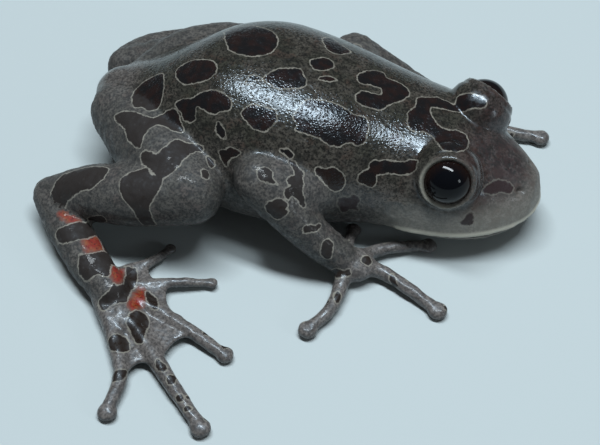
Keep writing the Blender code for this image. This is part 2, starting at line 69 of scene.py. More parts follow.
# Creases settle on these parts and on the trunk behind the head
CREASE_ROUNDS = 30
SOFT_PARTS = ("thigh", "shank", "upper_arm")
HEAD_FROM = 15.0

# Sides of a ring, rings along a limb, points along a digit, and the latitude of the last ring
# of a ball, in degrees
SIDES = 24
RINGS_PER_MM = 1.2
FEWEST_RINGS = 4
DIGIT_SAMPLES = 101
BALL_END = 88.0

# The trunk and head, from vent to snout:
# x, y, height of the widest level, half width, rise above it, drop below it
BODY = (
    (-33.0, -1.2, 9.3, 1.0, 1.0, 1.0),
    (-32.0, -1.2, 9.3, 3.0, 2.4, 3.0),
    (-29.5, -1.4, 9.2, 4.8, 3.6, 5.4),
    (-25.0, -1.4, 9.0, 6.8, 5.9, 7.4),
    (-20.0, -1.0, 8.8, 9.6, 9.4, 8.9),
    (-14.0, -0.2, 8.6, 13.2, 12.7, 9.2),
    (-8.0, 0.1, 8.4, 15.3, 13.6, 9.1),
    (-2.0, 0.2, 8.2, 15.0, 13.2, 8.9),
    (4.0, 0.5, 8.0, 13.8, 12.1, 8.4),
    (9.0, 1.0, 7.4, 12.6, 11.0, 7.1),
    (14.0, 1.1, 6.4, 12.0, 10.7, 4.8),
    (19.0, 1.0, 5.6, 11.5, 10.5, 3.9),
    (23.5, 0.5, 5.3, 10.1, 9.0, 3.6),
    (27.5, 0.1, 5.3, 7.8, 6.6, 3.4),
    (30.5, -0.1, 5.7, 5.1, 4.7, 2.7),
    (32.2, -0.1, 6.3, 2.6, 2.7, 1.8),
    (32.7, -0.1, 6.6, 0.7, 0.9, 0.6),
)
BODY_SQUARENESS = 2.15

# The head: its features are placed from the midline, which turns a little to the right
HEAD_TURN = -5.5
HEAD_PIVOT = (20.7, 0.8)
EYE_PLACE = (0.6, 7.4, 13.4)
EYE_AIM = (0.28, 0.86, 0.42)
NOSTRIL_PLACE = (9.3, 2.5, 9.2)
NOSTRIL_SLIT = (0.3, 0.0, 0.1)
EAR_PLACE = (-5.4, 10.6, 8.6)
EAR_AIM = (0.0, 1.0, 0.25)
EAR_RADIUS = 1.5
EYE_RING_POINTS = 40
EAR_RING_POINTS = 24
MOUTH_HEIGHT = 4.6
MOUTH_BACK = 14.6
LIP_RADIUS = 0.55
LIP_LIFT = 0.73
LIP_INSET = 0.3
LIP_STEP = 3
LIP_FINENESS = 4

# The eyeball: how much fuller its front is, the angle that this reaches to, where its rings
# start and end, in degrees from its front, and the pupil's half width and half height
EYE_BULGE = 0.03
BULGE_ANGLE = 40.0
EYE_ENDS = (178.0, 1.0)
PUPIL_SIZE = (2.2, 2.4)

# The gap between the lids: how far ahead of the eye's middle its edge is, how much narrower it
# is than the eyeball there, and where the cut starts, as a share of that way. Then the folds
# round it: distance from the middle, height and width
EYE_SINK = 1.6
LID_CLEARANCE = 0.05
RIM_START = 0.75
LID_FOLDS = ((3.7, 0.1, 0.3), (4.35, -0.14, 0.35))

# Lines raised from the skin, or sunk into it where negative: height and width
NOSTRIL_FOLD = (-0.7, 0.42)
EAR_FOLD = (0.12, 0.35)
MOUTH_FOLD = (-0.5, 0.3)

# Fine wrinkles: how closely they lie, their layers' fall, step and number, and how high they are.
# Level skin that is nearer to the floor than the margin stays flat
WRINKLES_PER_MM = 0.75
WRINKLE_LAYERS = (1.0, 2.0, 2)
BACK_WRINKLES = 0.012
LIMB_WRINKLES = 0.1
LEVEL_TURN = 0.9
FLOOR_MARGIN = 0.5

# Limb thicknesses, as radii spread evenly from root to tip
THIGH = (4.5, 5.7, 5.7, 4.6)
SHANK = (4.6, 4.5, 4.1, 2.9)
TARSUS = (2.9, 3.0, 3.0, 2.6)
UPPER_ARM = (3.4, 3.4, 3.5)
FOREARM = (3.5, 3.1, 2.7, 2.4)
PALM = (3.3, 2.8, 1.9)
PALM_SHIFT = (0.2, 0.0, 0.1)
TOE = (1.5, 1.25, 1.08, 0.95)
FINGER = (1.3, 1.05, 0.95, 0.9)
TOE_DISC = 1.44
FINGER_DISC = 1.45
DISC_FLATNESS = 0.66
TOE_SIZES = (0.68, 0.66, 0.92, 1.03, 1.0)
FINGER_SIZES = (0.85, 0.9, 1.0, 1.0)
SOLE = (3.8, 2.9, 1.6)
WEB_THICKNESS = 0.8
WEB_SAG = 0.16
WEB_GRID = (7, 9)

# Where each limb bends and each digit runs, in millimetres
RIGHT = {
    "thigh": ((-28.0, -4.8, 9.2), (-22.2, -9.1, 9.6), (-17.2, -13.4, 10.4), (-12.8, -17.5, 11.0)),
    "shank": ((-12.8, -17.5, 11.0), (-20.8, -18.9, 9.2), (-28.0, -18.5, 6.8), (-33.5, -18.6, 4.3)),
    "tarsus": ((-33.5, -18.6, 4.3), (-29.3, -23.0, 3.5), (-24.8, -27.2, 3.0), (-20.2, -30.9, 2.5)),
    "sole": (-17.6, -33.4, 1.8),
    "toes": (
        ((-21.5, -28.5, 2.0), (-19.2, -25.8, 1.6), (-16.9, -23.5, 1.4), (-15.4, -20.3, 0.9)),
        ((-21.0, -30.0, 2.0), (-16.4, -27.7, 1.6), (-11.6, -25.7, 1.4), (-7.8, -24.3, 0.9)),
        ((-20.5, -31.0, 2.0), (-14.3, -31.2, 1.6), (-7.6, -33.3, 1.4), (-2.2, -35.2, 0.9)),
        ((-20.6, -31.4, 2.0), (-14.8, -35.4, 1.6), (-8.2, -41.3, 1.4), (-1.5, -47.1, 0.9)),
        ((-21.2, -31.8, 2.0), (-17.3, -37.2, 1.6), (-14.3, -42.6, 1.4), (-14.0, -48.4, 0.9)),
    ),
    "webs": ((0.64, 0.5), (0.62, 0.62), (0.74, 0.62), (0.6, 0.72)),
    "upper_arm": ((4.9, -9.2, 7.6), (1.2, -13.0, 11.4), (-3.8, -14.8, 13.6)),
    "forearm": ((-3.8, -14.8, 13.6), (0.4, -15.8, 10.2), (4.4, -16.4, 6.6), (8.4, -16.3, 3.2)),
    "fingers": (
        ((9.2, -15.8, 2.0), (8.7, -13.6, 1.6), (8.4, -11.6, 1.3), (8.3, -9.4, 0.9)),
        ((9.8, -15.8, 2.0), (12.8, -12.4, 1.6), (16.0, -10.4, 1.3), (19.2, -9.0, 0.9)),
        ((10.0, -16.2, 2.0), (14.0, -15.9, 1.6), (18.8, -17.6, 1.3), (23.3, -19.6, 0.9)),
        ((9.3, -17.0, 2.0), (9.6, -20.3, 1.6), (9.2, -24.2, 1.3), (7.2, -28.0, 0.9)),
    ),
}
LEFT = {
    "thigh": ((-25.6, 3.2, 8.4), (-21.8, 6.6, 9.2), (-17.0, 9.4, 9.5), (-12.5, 12.4, 8.8)),
    "shank": ((-12.5, 12.4, 8.8), (-19.5, 10.3, 7.8), (-26.0, 9.0, 6.4), (-32.4, 7.9, 4.9)),
    "tarsus": ((-32.4, 7.9, 4.9), (-31.2, 12.0, 3.5), (-26.6, 15.9, 2.8), (-21.0, 17.6, 2.4)),
    "sole": (-17.4, 18.4, 1.8),
    "toes": (
        ((-20.8, 15.4, 2.0), (-19.6, 13.8, 1.6), (-18.2, 12.2, 1.3), (-16.8, 10.6, 0.9)),
        ((-20.6, 15.8, 2.0), (-16.0, 14.9, 1.6), (-11.6, 13.9, 1.4), (-7.4, 12.6, 0.9)),
        ((-20.4, 16.4, 2.0), (-14.0, 17.0, 1.6), (-7.4, 17.2, 1.4), (-0.6, 17.2, 0.9)),
        ((-20.4, 17.0, 2.0), (-13.0, 19.2, 1.6), (-4.4, 21.2, 1.4), (4.2, 22.0, 0.9)),
        ((-20.6, 17.6, 2.0), (-17.0, 20.2, 1.6), (-13.2, 22.4, 1.4), (-9.0, 24.2, 0.9)),
    ),
    "webs": ((0.4, 0.3), (0.52, 0.46), (0.54, 0.46), (0.46, 0.56)),
    "upper_arm": ((5.5, 10.0, 9.0), (3.0, 13.4, 9.0), (0.8, 16.6, 8.6)),
    "forearm": ((0.8, 16.7, 8.6), (5.4, 16.6, 6.4), (10.0, 16.5, 4.3), (14.2, 16.1, 2.9)),
    "fingers": (
        ((15.2, 15.0, 1.9), (15.0, 13.0, 1.4), (15.0, 11.2, 1.1), (15.4, 9.2, 0.8)),
        ((15.6, 14.8, 2.0), (18.8, 12.7, 1.6), (22.2, 11.2, 1.3), (25.4, 9.9, 0.9)),
        ((15.6, 15.4, 2.0), (20.6, 15.5, 1.6), (25.4, 15.2, 1.3), (30.0, 15.8, 0.9)),
        ((15.2, 16.2, 2.0), (16.8, 18.0, 1.6), (18.4, 19.4, 1.3), (20.2, 20.5, 0.9)),
    ),
}

# The photograph's view
PHOTO_WIDTH = 600
PHOTO_HEIGHT = 445
VIEW_AZIMUTH = 17.18
VIEW_ELEVATION = 50.69
VIEW_DISTANCE = 240.0
VIEW_TARGET = (2.39, -15.83, 8.0)
FOCAL_PIXELS = 1745.86

# Markings, as the photograph's pixels where each one ends. First the dark blotches
BACK_BLOTCHES = (
    (
        (225, 32), (229, 26), (237, 24), (250, 26), (262, 28), (272, 32), (277, 38),
        (277, 44), (273, 50), (266, 54), (252, 56), (241, 54), (232, 51), (227, 44),
    ),
    (
        (177, 70), (183, 65), (192, 61), (203, 60), (212, 62), (216, 67), (215, 73),
        (208, 79), (198, 82), (187, 84), (181, 82), (177, 77),
    ),
    (
        (162, 74), (163, 84), (162, 96), (160, 104), (154, 110), (148, 110), (142, 107),
        (135, 107), (132, 101), (134, 93), (140, 86), (149, 79),
    ),
    (
        (176, 103), (182, 100), (190, 99), (196, 96), (205, 92), (215, 91), (223, 94),
        (229, 99), (231, 105), (229, 110), (221, 111), (214, 114), (205, 110), (197, 106),
        (195, 112), (195, 119), (190, 122), (184, 119), (181, 112), (177, 107),
    ),
    ((218, 122), (221, 126), (224, 131), (226, 138), (221, 137), (217, 133), (216, 128)),
    (
        (241, 113), (245, 109), (249, 106), (255, 105), (262, 107), (270, 109), (275, 111),
        (276, 118), (274, 123), (270, 127), (266, 131), (260, 130), (253, 127), (248, 122), (244, 118),
    ),
    ((247, 82), (249, 77), (253, 76), (260, 78), (261, 80), (255, 80), (250, 84)),
    (
        (264, 79), (268, 75), (274, 71), (281, 69), (290, 69), (299, 69), (302, 71),
        (303, 76), (306, 80), (305, 85), (300, 87), (290, 88), (280, 88), (272, 85),
    ),
    ((311, 61), (316, 59), (325, 58), (331, 61), (334, 65), (330, 68), (323, 70), (316, 69), (312, 66)),
    ((319, 79), (323, 77), (330, 77), (336, 80), (330, 81), (324, 80)),
    ((323, 39), (330, 38), (337, 42), (344, 47), (350, 52), (342, 54), (334, 53), (327, 48)),
    (
        (358, 79), (359, 75), (365, 72), (374, 71), (383, 73), (387, 78), (394, 81), (401, 84),
        (407, 89), (409, 94), (405, 98), (399, 101), (392, 103), (386, 106), (380, 109),
        (370, 107), (361, 104), (357, 101), (357, 95), (360, 92), (366, 92), (374, 94),
        (380, 95), (383, 92), (381, 88), (375, 86), (368, 84), (361, 83),
    ),
    (
        (294, 118), (296, 113), (300, 108), (303, 103), (312, 100), (324, 101), (333, 103),
        (343, 108), (354, 115), (365, 118), (368, 126), (366, 136), (364, 143), (357, 145),
        (351, 142), (345, 143), (339, 146), (332, 145), (326, 142), (319, 137), (309, 134),
        (301, 132), (296, 129), (298, 125), (295, 121),
    ),
    ((280, 150), (285, 149), (290, 151), (293, 155), (291, 158), (286, 155)),
    (
        (316, 171), (318, 167), (321, 168), (325, 170), (330, 168), (336, 169), (341, 173),
        (345, 179), (344, 185), (340, 190), (334, 191), (330, 188), (325, 183), (320, 178),
    ),
    (
        (358, 178), (360, 174), (365, 171), (369, 169), (370, 164), (373, 161), (380, 161),
        (388, 161), (396, 162), (405, 162), (412, 160), (417, 161), (416, 167), (412, 172),
        (405, 174), (395, 174), (386, 173), (378, 174), (375, 177), (376, 181), (373, 186),
        (369, 186), (364, 184), (359, 183),
    ),
    (
        (219, 151), (225, 150), (231, 148), (235, 150), (240, 153), (236, 156), (230, 159),
        (226, 166), (223, 161), (221, 156),
    ),
)
HEAD_BLOTCHES = (
    (
        (418, 98), (430, 98), (438, 98), (448, 102), (455, 105), (457, 100), (459, 96), (466, 94),
        (476, 95), (484, 99), (486, 104), (481, 108), (474, 107), (466, 110), (455, 111),
        (445, 109), (436, 107), (431, 107), (430, 112), (433, 118), (438, 125), (446, 130),
        (456, 131), (464, 134), (468, 141), (466, 148), (458, 151), (448, 150), (441, 147),
        (436, 140), (430, 134), (423, 131), (415, 131), (410, 128), (408, 120), (409, 112), (416, 107),
    ),
)
THIGH_BLOTCHES = (
    (
        (115, 116), (123, 112), (133, 112), (142, 115), (151, 118), (161, 115), (170, 110), (176, 111),
        (180, 120), (183, 131), (174, 131), (165, 126), (157, 125), (149, 129), (143, 137), (140, 147),
        (134, 145), (128, 139), (126, 132), (122, 125), (116, 121),
    ),
    (
        (143, 152), (150, 152), (156, 154), (162, 150), (168, 145), (177, 140), (187, 143), (197, 145),
        (203, 147), (202, 151), (193, 152), (185, 158), (178, 166), (172, 172), (164, 178), (157, 176),
        (150, 168), (143, 164), (141, 158),
    ),
)
SHANK_BLOTCHES = (
    (
        (120, 188), (121, 181), (127, 175), (136, 171), (146, 169), (153, 175), (161, 175),
        (162, 180), (160, 187), (156, 194), (152, 201), (149, 207), (151, 215), (155, 223),
        (147, 227), (138, 226), (138, 218), (133, 210), (127, 203), (122, 195),
    ),
    (
        (53, 189), (58, 180), (64, 175), (74, 171), (86, 168), (98, 167), (108, 169), (105, 176),
        (100, 181), (93, 187), (86, 190), (79, 192), (73, 196), (67, 202), (63, 209), (56, 211),
        (49, 210), (48, 205), (53, 201), (51, 195),
    ),
    ((88, 219), (95, 216), (101, 216), (105, 219), (105, 222), (96, 223)),
    ((207, 157), (212, 160), (214, 165), (211, 168), (208, 164)),
    ((202, 171), (206, 170), (209, 175), (206, 179), (202, 176)),
)
FOOT_BLOTCHES = (
    (
        (57, 238), (56, 233), (60, 229), (67, 226), (76, 223), (84, 223), (91, 226), (98, 231),
        (103, 236), (107, 243), (111, 250), (106, 252), (103, 244), (98, 237), (92, 236),
        (87, 238), (79, 239), (72, 241), (65, 243), (60, 242),
    ),
    (
        (80, 255), (88, 255), (96, 253), (104, 252), (110, 250), (116, 256), (119, 262),
        (112, 264), (110, 268), (109, 275), (104, 276), (98, 274), (92, 277), (87, 281),
        (82, 277), (79, 270), (79, 262),
    ),
    (
        (113, 284), (118, 286), (124, 283), (126, 275), (126, 267), (124, 262), (131, 263), (136, 270),
        (137, 279), (134, 287), (131, 290), (128, 297), (125, 302),
        (117, 303), (110, 306), (104, 311), (101, 308), (99, 302), (104, 296), (110, 291),
    ),
    (
        (128, 318), (131, 313), (137, 311), (143, 313), (147, 317), (149, 322), (146, 330),
        (144, 338), (142, 343), (137, 343), (133, 337), (130, 330), (127, 324),
    ),
    (
        (109, 339), (114, 335), (120, 335), (126, 338), (129, 344), (128, 351), (122, 352),
        (115, 351), (109, 349),
    ),
    ((111, 371), (120, 370), (127, 371), (125, 377), (121, 380), (111, 379)),
    ((146, 292), (151, 294), (156, 299), (158, 306), (155, 310), (150, 306), (147, 300)),
    ((157, 360), (161, 362), (166, 366), (166, 370), (161, 371), (156, 367)),
    ((167, 377), (172, 375), (176, 378), (175, 383), (170, 384), (167, 381)),
    ((176, 397), (180, 394), (183, 397), (182, 401), (178, 401)),
    ((184, 408), (188, 406), (191, 408), (189, 411), (185, 411)),
)
ARM_BLOTCHES = (
    (
        (258, 171), (262, 168), (269, 169), (272, 174), (273, 180), (277, 184), (268, 182),
        (262, 181), (259, 177),
    ),
    (
        (289, 161), (295, 162), (298, 168), (303, 173), (302, 178), (303, 186), (302, 192),
        (304, 199), (305, 207), (301, 206), (298, 200), (292, 196), (288, 199), (285, 195),
        (286, 189), (291, 186), (287, 181), (290, 177), (295, 175), (293, 168),
    ),
    (
        (266, 205), (272, 201), (279, 199), (284, 201), (287, 205), (286, 209), (288, 212),
        (283, 217), (276, 219), (270, 214), (266, 209),
    ),
    ((303, 229), (308, 225), (315, 226), (320, 224), (319, 229), (311, 232), (305, 233)),
    ((324, 241), (330, 240), (333, 246), (332, 252), (330, 258), (325, 258), (321, 253), (322, 246)),
)
HAND_BLOTCHES = (
    ((333, 270), (338, 269), (343, 271), (349, 270), (350, 275), (345, 276), (338, 277), (333, 276)),
    ((335, 294), (338, 292), (341, 296), (339, 302), (336, 303), (334, 298)),
    ((390, 275), (394, 276), (396, 281), (398, 286), (394, 287), (391, 282)),
    ((363, 257), (368, 256), (371, 260), (370, 264), (365, 264), (362, 261)),
)

# Then brown, paler blotches with a weak outline, and the red patches
FAINT_BLOTCHES = (
    (
        (483, 191), (489, 184), (494, 181), (500, 180), (507, 182), (512, 186), (513, 190),
        (508, 193), (500, 192), (494, 194), (488, 193),
    ),
    ((460, 224), (463, 219), (468, 214), (472, 212), (474, 217), (473, 223), (467, 226)),
    ((390, 137), (394, 134), (400, 135), (402, 139), (397, 142), (391, 141)),
    (
        (338, 203), (341, 197), (348, 198), (354, 195), (360, 199), (357, 205), (358, 210),
        (350, 209), (343, 212),
    ),
)
RED_PATCHES = (
    ((57, 213), (62, 211), (68, 213), (75, 217), (81, 222), (73, 224), (66, 222), (61, 219)),
    (
        (82, 240), (88, 238), (96, 236), (102, 239), (105, 246), (106, 251), (97, 252),
        (91, 252), (86, 253), (84, 248),
    ),
    (
        (112, 265), (118, 262), (123, 263), (125, 270), (124, 279), (119, 284), (113, 281),
        (110, 275), (111, 269),
    ),
    (
        (138, 289), (143, 288), (146, 294), (145, 301), (142, 307), (134, 311), (129, 308),
        (128, 302), (132, 297),
    ),
)

# How markings are laid on the skin, in millimetres. A patch reaches skin within twice its depth
# and within its margin, and fades beyond its depth and where the skin turns away from it
CURVE_STEPS = 5
STEEP = 0.9
PATCH_DEPTH = 2.4
PATCH_MARGIN = 3.5
PATCH_FADE = 5.0
LEAST_FACING = 0.2
FAR = 50.0
TINY = 1e-9
FACING_CAMERA = 0.05
SKIN_CLEARANCE = 0.3
FRAME_SAMPLES = 40
REPEATED_PARTS = ("tarsus", "foot")
DARK, FAINT, RED = range(3)

# Each part's skin: the half lengths of its made-up blotches, in millimetres, how light and
# pinkish it is, and how wet
SKIN_OF_PARTS = {
    "thigh": ((1.6, 2.8), 0.3, 0.2),
    "shank": ((1.6, 2.8), 0.32, 0.2),
    "tarsus": ((1.2, 2.0), 0.35, 0.2),
    "foot": ((0.7, 1.2), 0.9, 0.65),
    "upper_arm": ((1.2, 1.9), 0.4, 0.25),
    "forearm": ((1.1, 1.8), 0.32, 0.35),
    "hand": ((0.6, 1.0), 0.9, 0.65),
}
BODY_BLOTCHES = (1.6, 3.6)

# Made-up blotches on the sides that the photograph doesn't show
SLENDERNESS = (0.5, 0.85)
UNEVENNESS = 0.22
CORNERS = 9
BLOTCH_GAP = 0.9
ROUNDED_SHARE = 0.8
HIDDEN_SHARE = 0.6
MARKED_DOWN_TO = -0.25
MARKING_SEED = 11
MOST_TRIES = 4000

# Tones of the skin: strengths from 0 to 1, and where each starts and ends
BODY_WETNESS = 0.3
EYE_WETNESS = 0.85
FLANK_TONE = 0.4
FLANK_TURN = (-0.75, -0.1)
TONE_ROUNDS = 24
CHEEK_LEVELS = (-11.5, -6.5)
CHEEK_SPAN = (10.0, 17.0)
BELLY_TONE = 0.8
BELLY_TURN = (0.1, 0.6)
RUMP_TONE = 0.6
RUMP_SPAN = (24.0, 29.0)
BROWN_SPAN = (19.0, 25.0)
LIP_RISE = 0.9
LIP_LINE = 0.5
CHEEK_PALENESS = 0.26
RIM_PLACE = 3.5
RIM_WIDTH = 0.5
# The pale rim of the lids carries painted light: palest toward this direction, on its lower rear side
# where light falls, and down to the least share on its shaded side
RIM_LIGHT_FROM = (-0.75, 0.2, -0.6)
RIM_LIGHT_TURN = (-2.0, 2.5)
RIM_SHADED_SHARE = 0.2
BARE_WITHIN = 4.3
SMOOTH_BEYOND = (-8.0, -5.0)
LID_SMOOTHNESS = 0.85
# Widths of the painted shade in the line of the mouth and in the nostrils
MOUTH_SHADE_WIDTH = 0.28
NOSTRIL_SHADE_RADIUS = 0.38
LIMB_GRAIN = 0.4
GRAIN_TURN = (-0.1, 0.5)

# Patterns of the skin and the eyes. For each: how many fit in a millimetre, the detail and the
# roughness of its noise, the noise at which it starts and is full, and its strength at each
PATTERNS = {
    "clouds": (0.25, 4.0, 0.55, 0.35, 0.65, 0.0, 1.0),
    "warmth": (0.42, 4.0, 0.65, 0.5, 0.68, 0.0, 0.7),
    "mottles": (0.9, 4.0, 0.65, 0.45, 0.65, 0.0, 0.7),
    "ground speckles": (2.8, 3.0, 0.7, 0.4, 0.64, 0.0, 1.0),
    "limb speckles": (2.8, 3.0, 0.7, 0.38, 0.64, 0.0, 0.9),
    "red speckles": (2.8, 3.0, 0.7, 0.5, 0.66, 0.0, 0.7),
    "yellow tints": (1.0, 3.0, 0.55, 0.45, 0.7, 0.0, 1.0),
    "blotch tints": (0.6, 3.0, 0.55, 0.4, 0.65, 0.0, 1.0),
    "head spots": (0.6, 4.0, 0.6, 0.48, 0.58, 0.0, 0.85),
    "head flush": (0.5, 4.0, 0.7, 0.46, 0.62, 0.1, 0.6),
    "outlines": (0.8, 4.0, 0.65, 0.3, 0.6, 0.3, 1.0),
    "iris streaks": (3.5, 3.0, 0.55, 0.2, 0.8, 0.4, 1.0),
}

# Uneven values: how many waves fit in a millimetre, detail, roughness and how far they swing
RAGGED_EDGES = (1.3, 4.0, 0.65, 0.9)
DAMP_PATCHES = (1.3, 4.0, 0.7, 2.0)
DARK_RAGGEDNESS = 0.8

# Where the colours of a marking end, in millimetres outside its own edge: full up to the first
# value and gone at the second. An outline lies between its two values
BLOTCH_EDGE = (-0.06, 0.05)
OUTLINE = (0.02, 0.2)
FAINT_EDGE = (-0.2, 0.1)
FAINT_STRENGTH = 0.92
FAINT_OUTLINE = (0.02, 0.22)
FAINT_OUTLINE_STRENGTH = 0.3
RED_CORE = (-0.45, 0.0)
RED_RIM = (-0.05, 0.4)
LIMB_BLOTCH_TONES = (0.0, 0.3)
DOTS_PER_MM = 0.75
DOT_EDGE = (0.1, 0.16)
DOT_STRENGTH = 0.8

# The gloss: roughness dry and wet, where it is wet, and the granules and wrinkles that break it up
ROUGHNESS = (0.78, 0.17)
WET_AT = (0.0, 1.1)
SKIN_GLOSS = 0.37
COAT = 0.13
COAT_ROUGHNESS = 0.08
GRANULES_PER_MM = 2.9
GRANULE_EDGE = (0.0, 0.6)
BUMP_WRINKLES = (1.7, 3.0, 0.6)
BUMP_WRINKLE_HEIGHT = 2.0
BUMP_HEIGHT = 0.021
PUPIL_EDGE = (-0.3, 1.0)
EYE_ROUGHNESS = 0.07
EYE_GLOSS = 0.18

# Colours, in linear light
GROUND_LIGHT = (0.068, 0.06, 0.05, 1.0)
GROUND_DARK = (0.011, 0.0105, 0.009, 1.0)
GROUND_OLIVE = (0.038, 0.037, 0.028, 1.0)
LIMB_LIGHT = (0.175, 0.158, 0.148, 1.0)
LIMB_DARK = (0.056, 0.05, 0.048, 1.0)
GROUND_RED = (0.052, 0.032, 0.025, 1.0)
HEAD_BROWN = (0.058, 0.046, 0.043, 1.0)
BLOTCH_COLOUR = (0.0075, 0.0068, 0.0072, 1.0)
BLOTCH_WARM = (0.015, 0.008, 0.007, 1.0)
LIMB_BLOTCH = (0.0185, 0.0125, 0.0095, 1.0)
FAINT_COLOUR = (0.019, 0.0065, 0.0055, 1.0)
HEAD_RED = (0.042, 0.022, 0.019, 1.0)
OUTLINE_COLOUR = (0.21, 0.195, 0.165, 1.0)
RED_COLOUR = (0.19, 0.02, 0.011, 1.0)
RED_YELLOW = (0.21, 0.065, 0.024, 1.0)
RED_EDGE = (0.13, 0.05, 0.035, 1.0)
PALE_COLOUR = (0.56, 0.53, 0.44, 1.0)
IRIS_COLOUR = (0.013, 0.006, 0.004, 1.0)
PUPIL_COLOUR = (0.0025, 0.003, 0.0045, 1.0)
FLOOR_COLOUR = (0.432, 0.483, 0.49, 1.0)
LAMP_COLOUR = (0.85, 0.94, 1.0)
GLARE_TINT = (0.76, 0.89, 1.0, 1.0)
GLOW_COLOUR = (0.97, 0.98, 1.0, 1.0)

# The lamps: place and size in metres, watts, and degrees turned about the beam
LAMPS = {
    "overhead": ((0.0, 0.035, 0.7), (0.56, 0.09), 7.1, -10.0),
    "ahead": ((0.64, -0.2, 0.26), (0.1, 0.14), 0.4, 0.0),
}
GLOW = 0.09
FLOOR_REACH = 3.0
FLOOR_ROUGHNESS = 0.75
SENSOR_WIDTH = 36.0
NEAREST_SEEN = 0.005


def smooth_rows(rows, count):
    """Rows of numbers along a path, filled in by a smooth curve through them."""
    rows = np.array(rows, dtype=float)
    steps = np.linalg.norm(np.diff(rows[:, :3], axis=0), axis=1)
    length = np.concatenate([[0.0], np.cumsum(steps)])
    slopes = np.gradient(rows, length, axis=0)
    where = np.linspace(0.0, length[-1], count)
    start = np.clip(np.searchsorted(length, where, side="right") - 1, 0, len(rows) - 2)
    span = (length[start + 1] - length[start])[:, None]
    t = (where - length[start])[:, None] / span
    return (
        (1 + 2 * t) * (1 - t) ** 2 * rows[start]
        + t * (1 - t) ** 2 * span * slopes[start]
        + t**2 * (3 - 2 * t) * rows[start + 1]
        + t**2 * (t - 1) * span * slopes[start + 1]
    )


def path_length(points):
    """The length of the broken line through these points."""
    return float(np.linalg.norm(np.diff(np.array(points, dtype=float), axis=0), axis=1).sum())


def radii_along(points, radii):
    """Rows of x, y, z and radius: the radii spread evenly over the path."""
    count = max(FEWEST_RINGS, int(path_length(points) * RINGS_PER_MM))
    path = smooth_rows(points, count)
    spread = np.interp(np.linspace(0, 1, count), np.linspace(0, 1, len(radii)), radii)
    return np.column_stack([path, spread])


def point_along(points, share):
    """The point at this share of a digit's path."""
    return smooth_rows(points, DIGIT_SAMPLES)[int(round(share * (DIGIT_SAMPLES - 1)))]


def add_rings(mesh, rings):
    """Joins closed rings of points into one closed surface with flat ends."""
    rows = [[mesh.verts.new(Vector(point) * MM) for point in ring] for ring in rings]
    sides = len(rows[0])
    for low, high in zip(rows, rows[1:]):
        for i in range(sides):
            j = (i + 1) % sides
            mesh.faces.new((low[i], low[j], high[j], high[i]))
    mesh.faces.new(rows[0][::-1])
    mesh.faces.new(rows[-1])


def add_ball(mesh, centre, radii, turn=None):
    """An ellipsoid with these radii along X, Y and Z, turned by a matrix."""
    turn = np.array(turn or Matrix.Identity(3))
    longitudes = np.linspace(0, 2 * np.pi, SIDES, endpoint=False)
    latitudes = np.radians(np.linspace(-BALL_END, BALL_END, SIDES // 2 + 1))
    rings = []
    for latitude in latitudes:
        x = radii[0] * np.cos(latitude) * np.cos(longitudes)
        y = radii[1] * np.cos(latitude) * np.sin(longitudes)
        z = np.full(SIDES, radii[2] * np.sin(latitude))
        rings.append(np.array(centre) + np.column_stack([x, y, z]) @ turn.T)
    add_rings(mesh, rings)


def add_tube(mesh, rows):
    """A round tube with round ends, through rows of x, y, z and radius."""
    path = rows[:, :3]
    along = np.gradient(path, axis=0)
    along /= np.linalg.norm(along, axis=1)[:, None]
    side = np.cross((0.0, 0.0, 1.0), along)
    side /= np.linalg.norm(side, axis=1)[:, None]
    over = np.cross(along, side)
    angles = np.linspace(0, 2 * np.pi, SIDES, endpoint=False)
    rings = []
    for point, radius, right, up in zip(path, rows[:, 3], side, over):
        rings.append([point + radius * (np.cos(a) * right + np.sin(a) * up) for a in angles])
    add_rings(mesh, rings)
    for end in (0, -1):
        add_ball(mesh, path[end], (rows[end, 3],) * 3)


def body_rows():
    """The trunk and head as smooth rows."""
    return smooth_rows(BODY, int(DRAWN_LENGTH * RINGS_PER_MM))


def add_body(mesh):
    """The trunk and head, lofted through sections that are fuller than an ellipse."""
    angles = np.linspace(0, 2 * np.pi, 2 * SIDES, endpoint=False)
    power = 2 / BODY_SQUARENESS
    across = np.sign(np.cos(angles)) * np.abs(np.cos(angles)) ** power
    height = np.sign(np.sin(angles)) * np.abs(np.sin(angles)) ** power
    rings = []
    for x, y, z, half_width, rise, drop in body_rows():
        tall = np.where(height > 0, rise, drop)
        points = np.column_stack([np.full(len(angles), x), y + half_width * across, z + tall * height])
        rings.append(points)
    add_rings(mesh, rings)


def head_point(place, side):
    """A point given from the head's pivot on the midline, with side 1 for left and -1 for right."""
    ahead, out, height = place
    turned = Matrix.Rotation(np.radians(HEAD_TURN), 3, "Z") @ Vector((ahead, side * out, 0.0))
    return Vector((HEAD_PIVOT[0] + turned.x, HEAD_PIVOT[1] + turned.y, height))


def head_direction(aim, side):
    """A direction given in the head's own frame."""
    turned = Matrix.Rotation(np.radians(HEAD_TURN), 3, "Z") @ Vector((aim[0], side * aim[1], aim[2]))
    return turned.normalized()


def lip_points(outward):
    """The line of the mouth from the right jaw round the snout to the left, shifted outward."""
    rows = body_rows()
    rows = rows[rows[:, 0] > MOUTH_BACK][::LIP_STEP]
    right = [(x, y - width, MOUTH_HEIGHT) for x, y, _, width, _, _ in rows]
    left = [(x, y + width, MOUTH_HEIGHT) for x, y, _, width, _, _ in rows[::-1]]
    line = smooth_rows(right + left, LIP_FINENESS * len(rows))
    along = np.gradient(line, axis=0)
    along /= np.linalg.norm(along, axis=1)[:, None]
    out = np.cross(along, (0.0, 0.0, 1.0))
    return line + outward * out


def add_head_details(mesh):
    """The domes of the eyelids and the swelling of the upper lip."""
    for side in (-1, 1):
        aim = head_direction(EYE_AIM, side)
        centre = head_point(EYE_PLACE, side) - aim * LID_SINK
        add_ball(mesh, centre, (EYE_RADIUS + SEAM + LID_THICKNESS,) * 3)
    line = lip_points(-LIP_INSET) + np.array((0.0, 0.0, LIP_LIFT))
    add_tube(mesh, np.column_stack([line, np.full(len(line), LIP_RADIUS)]))


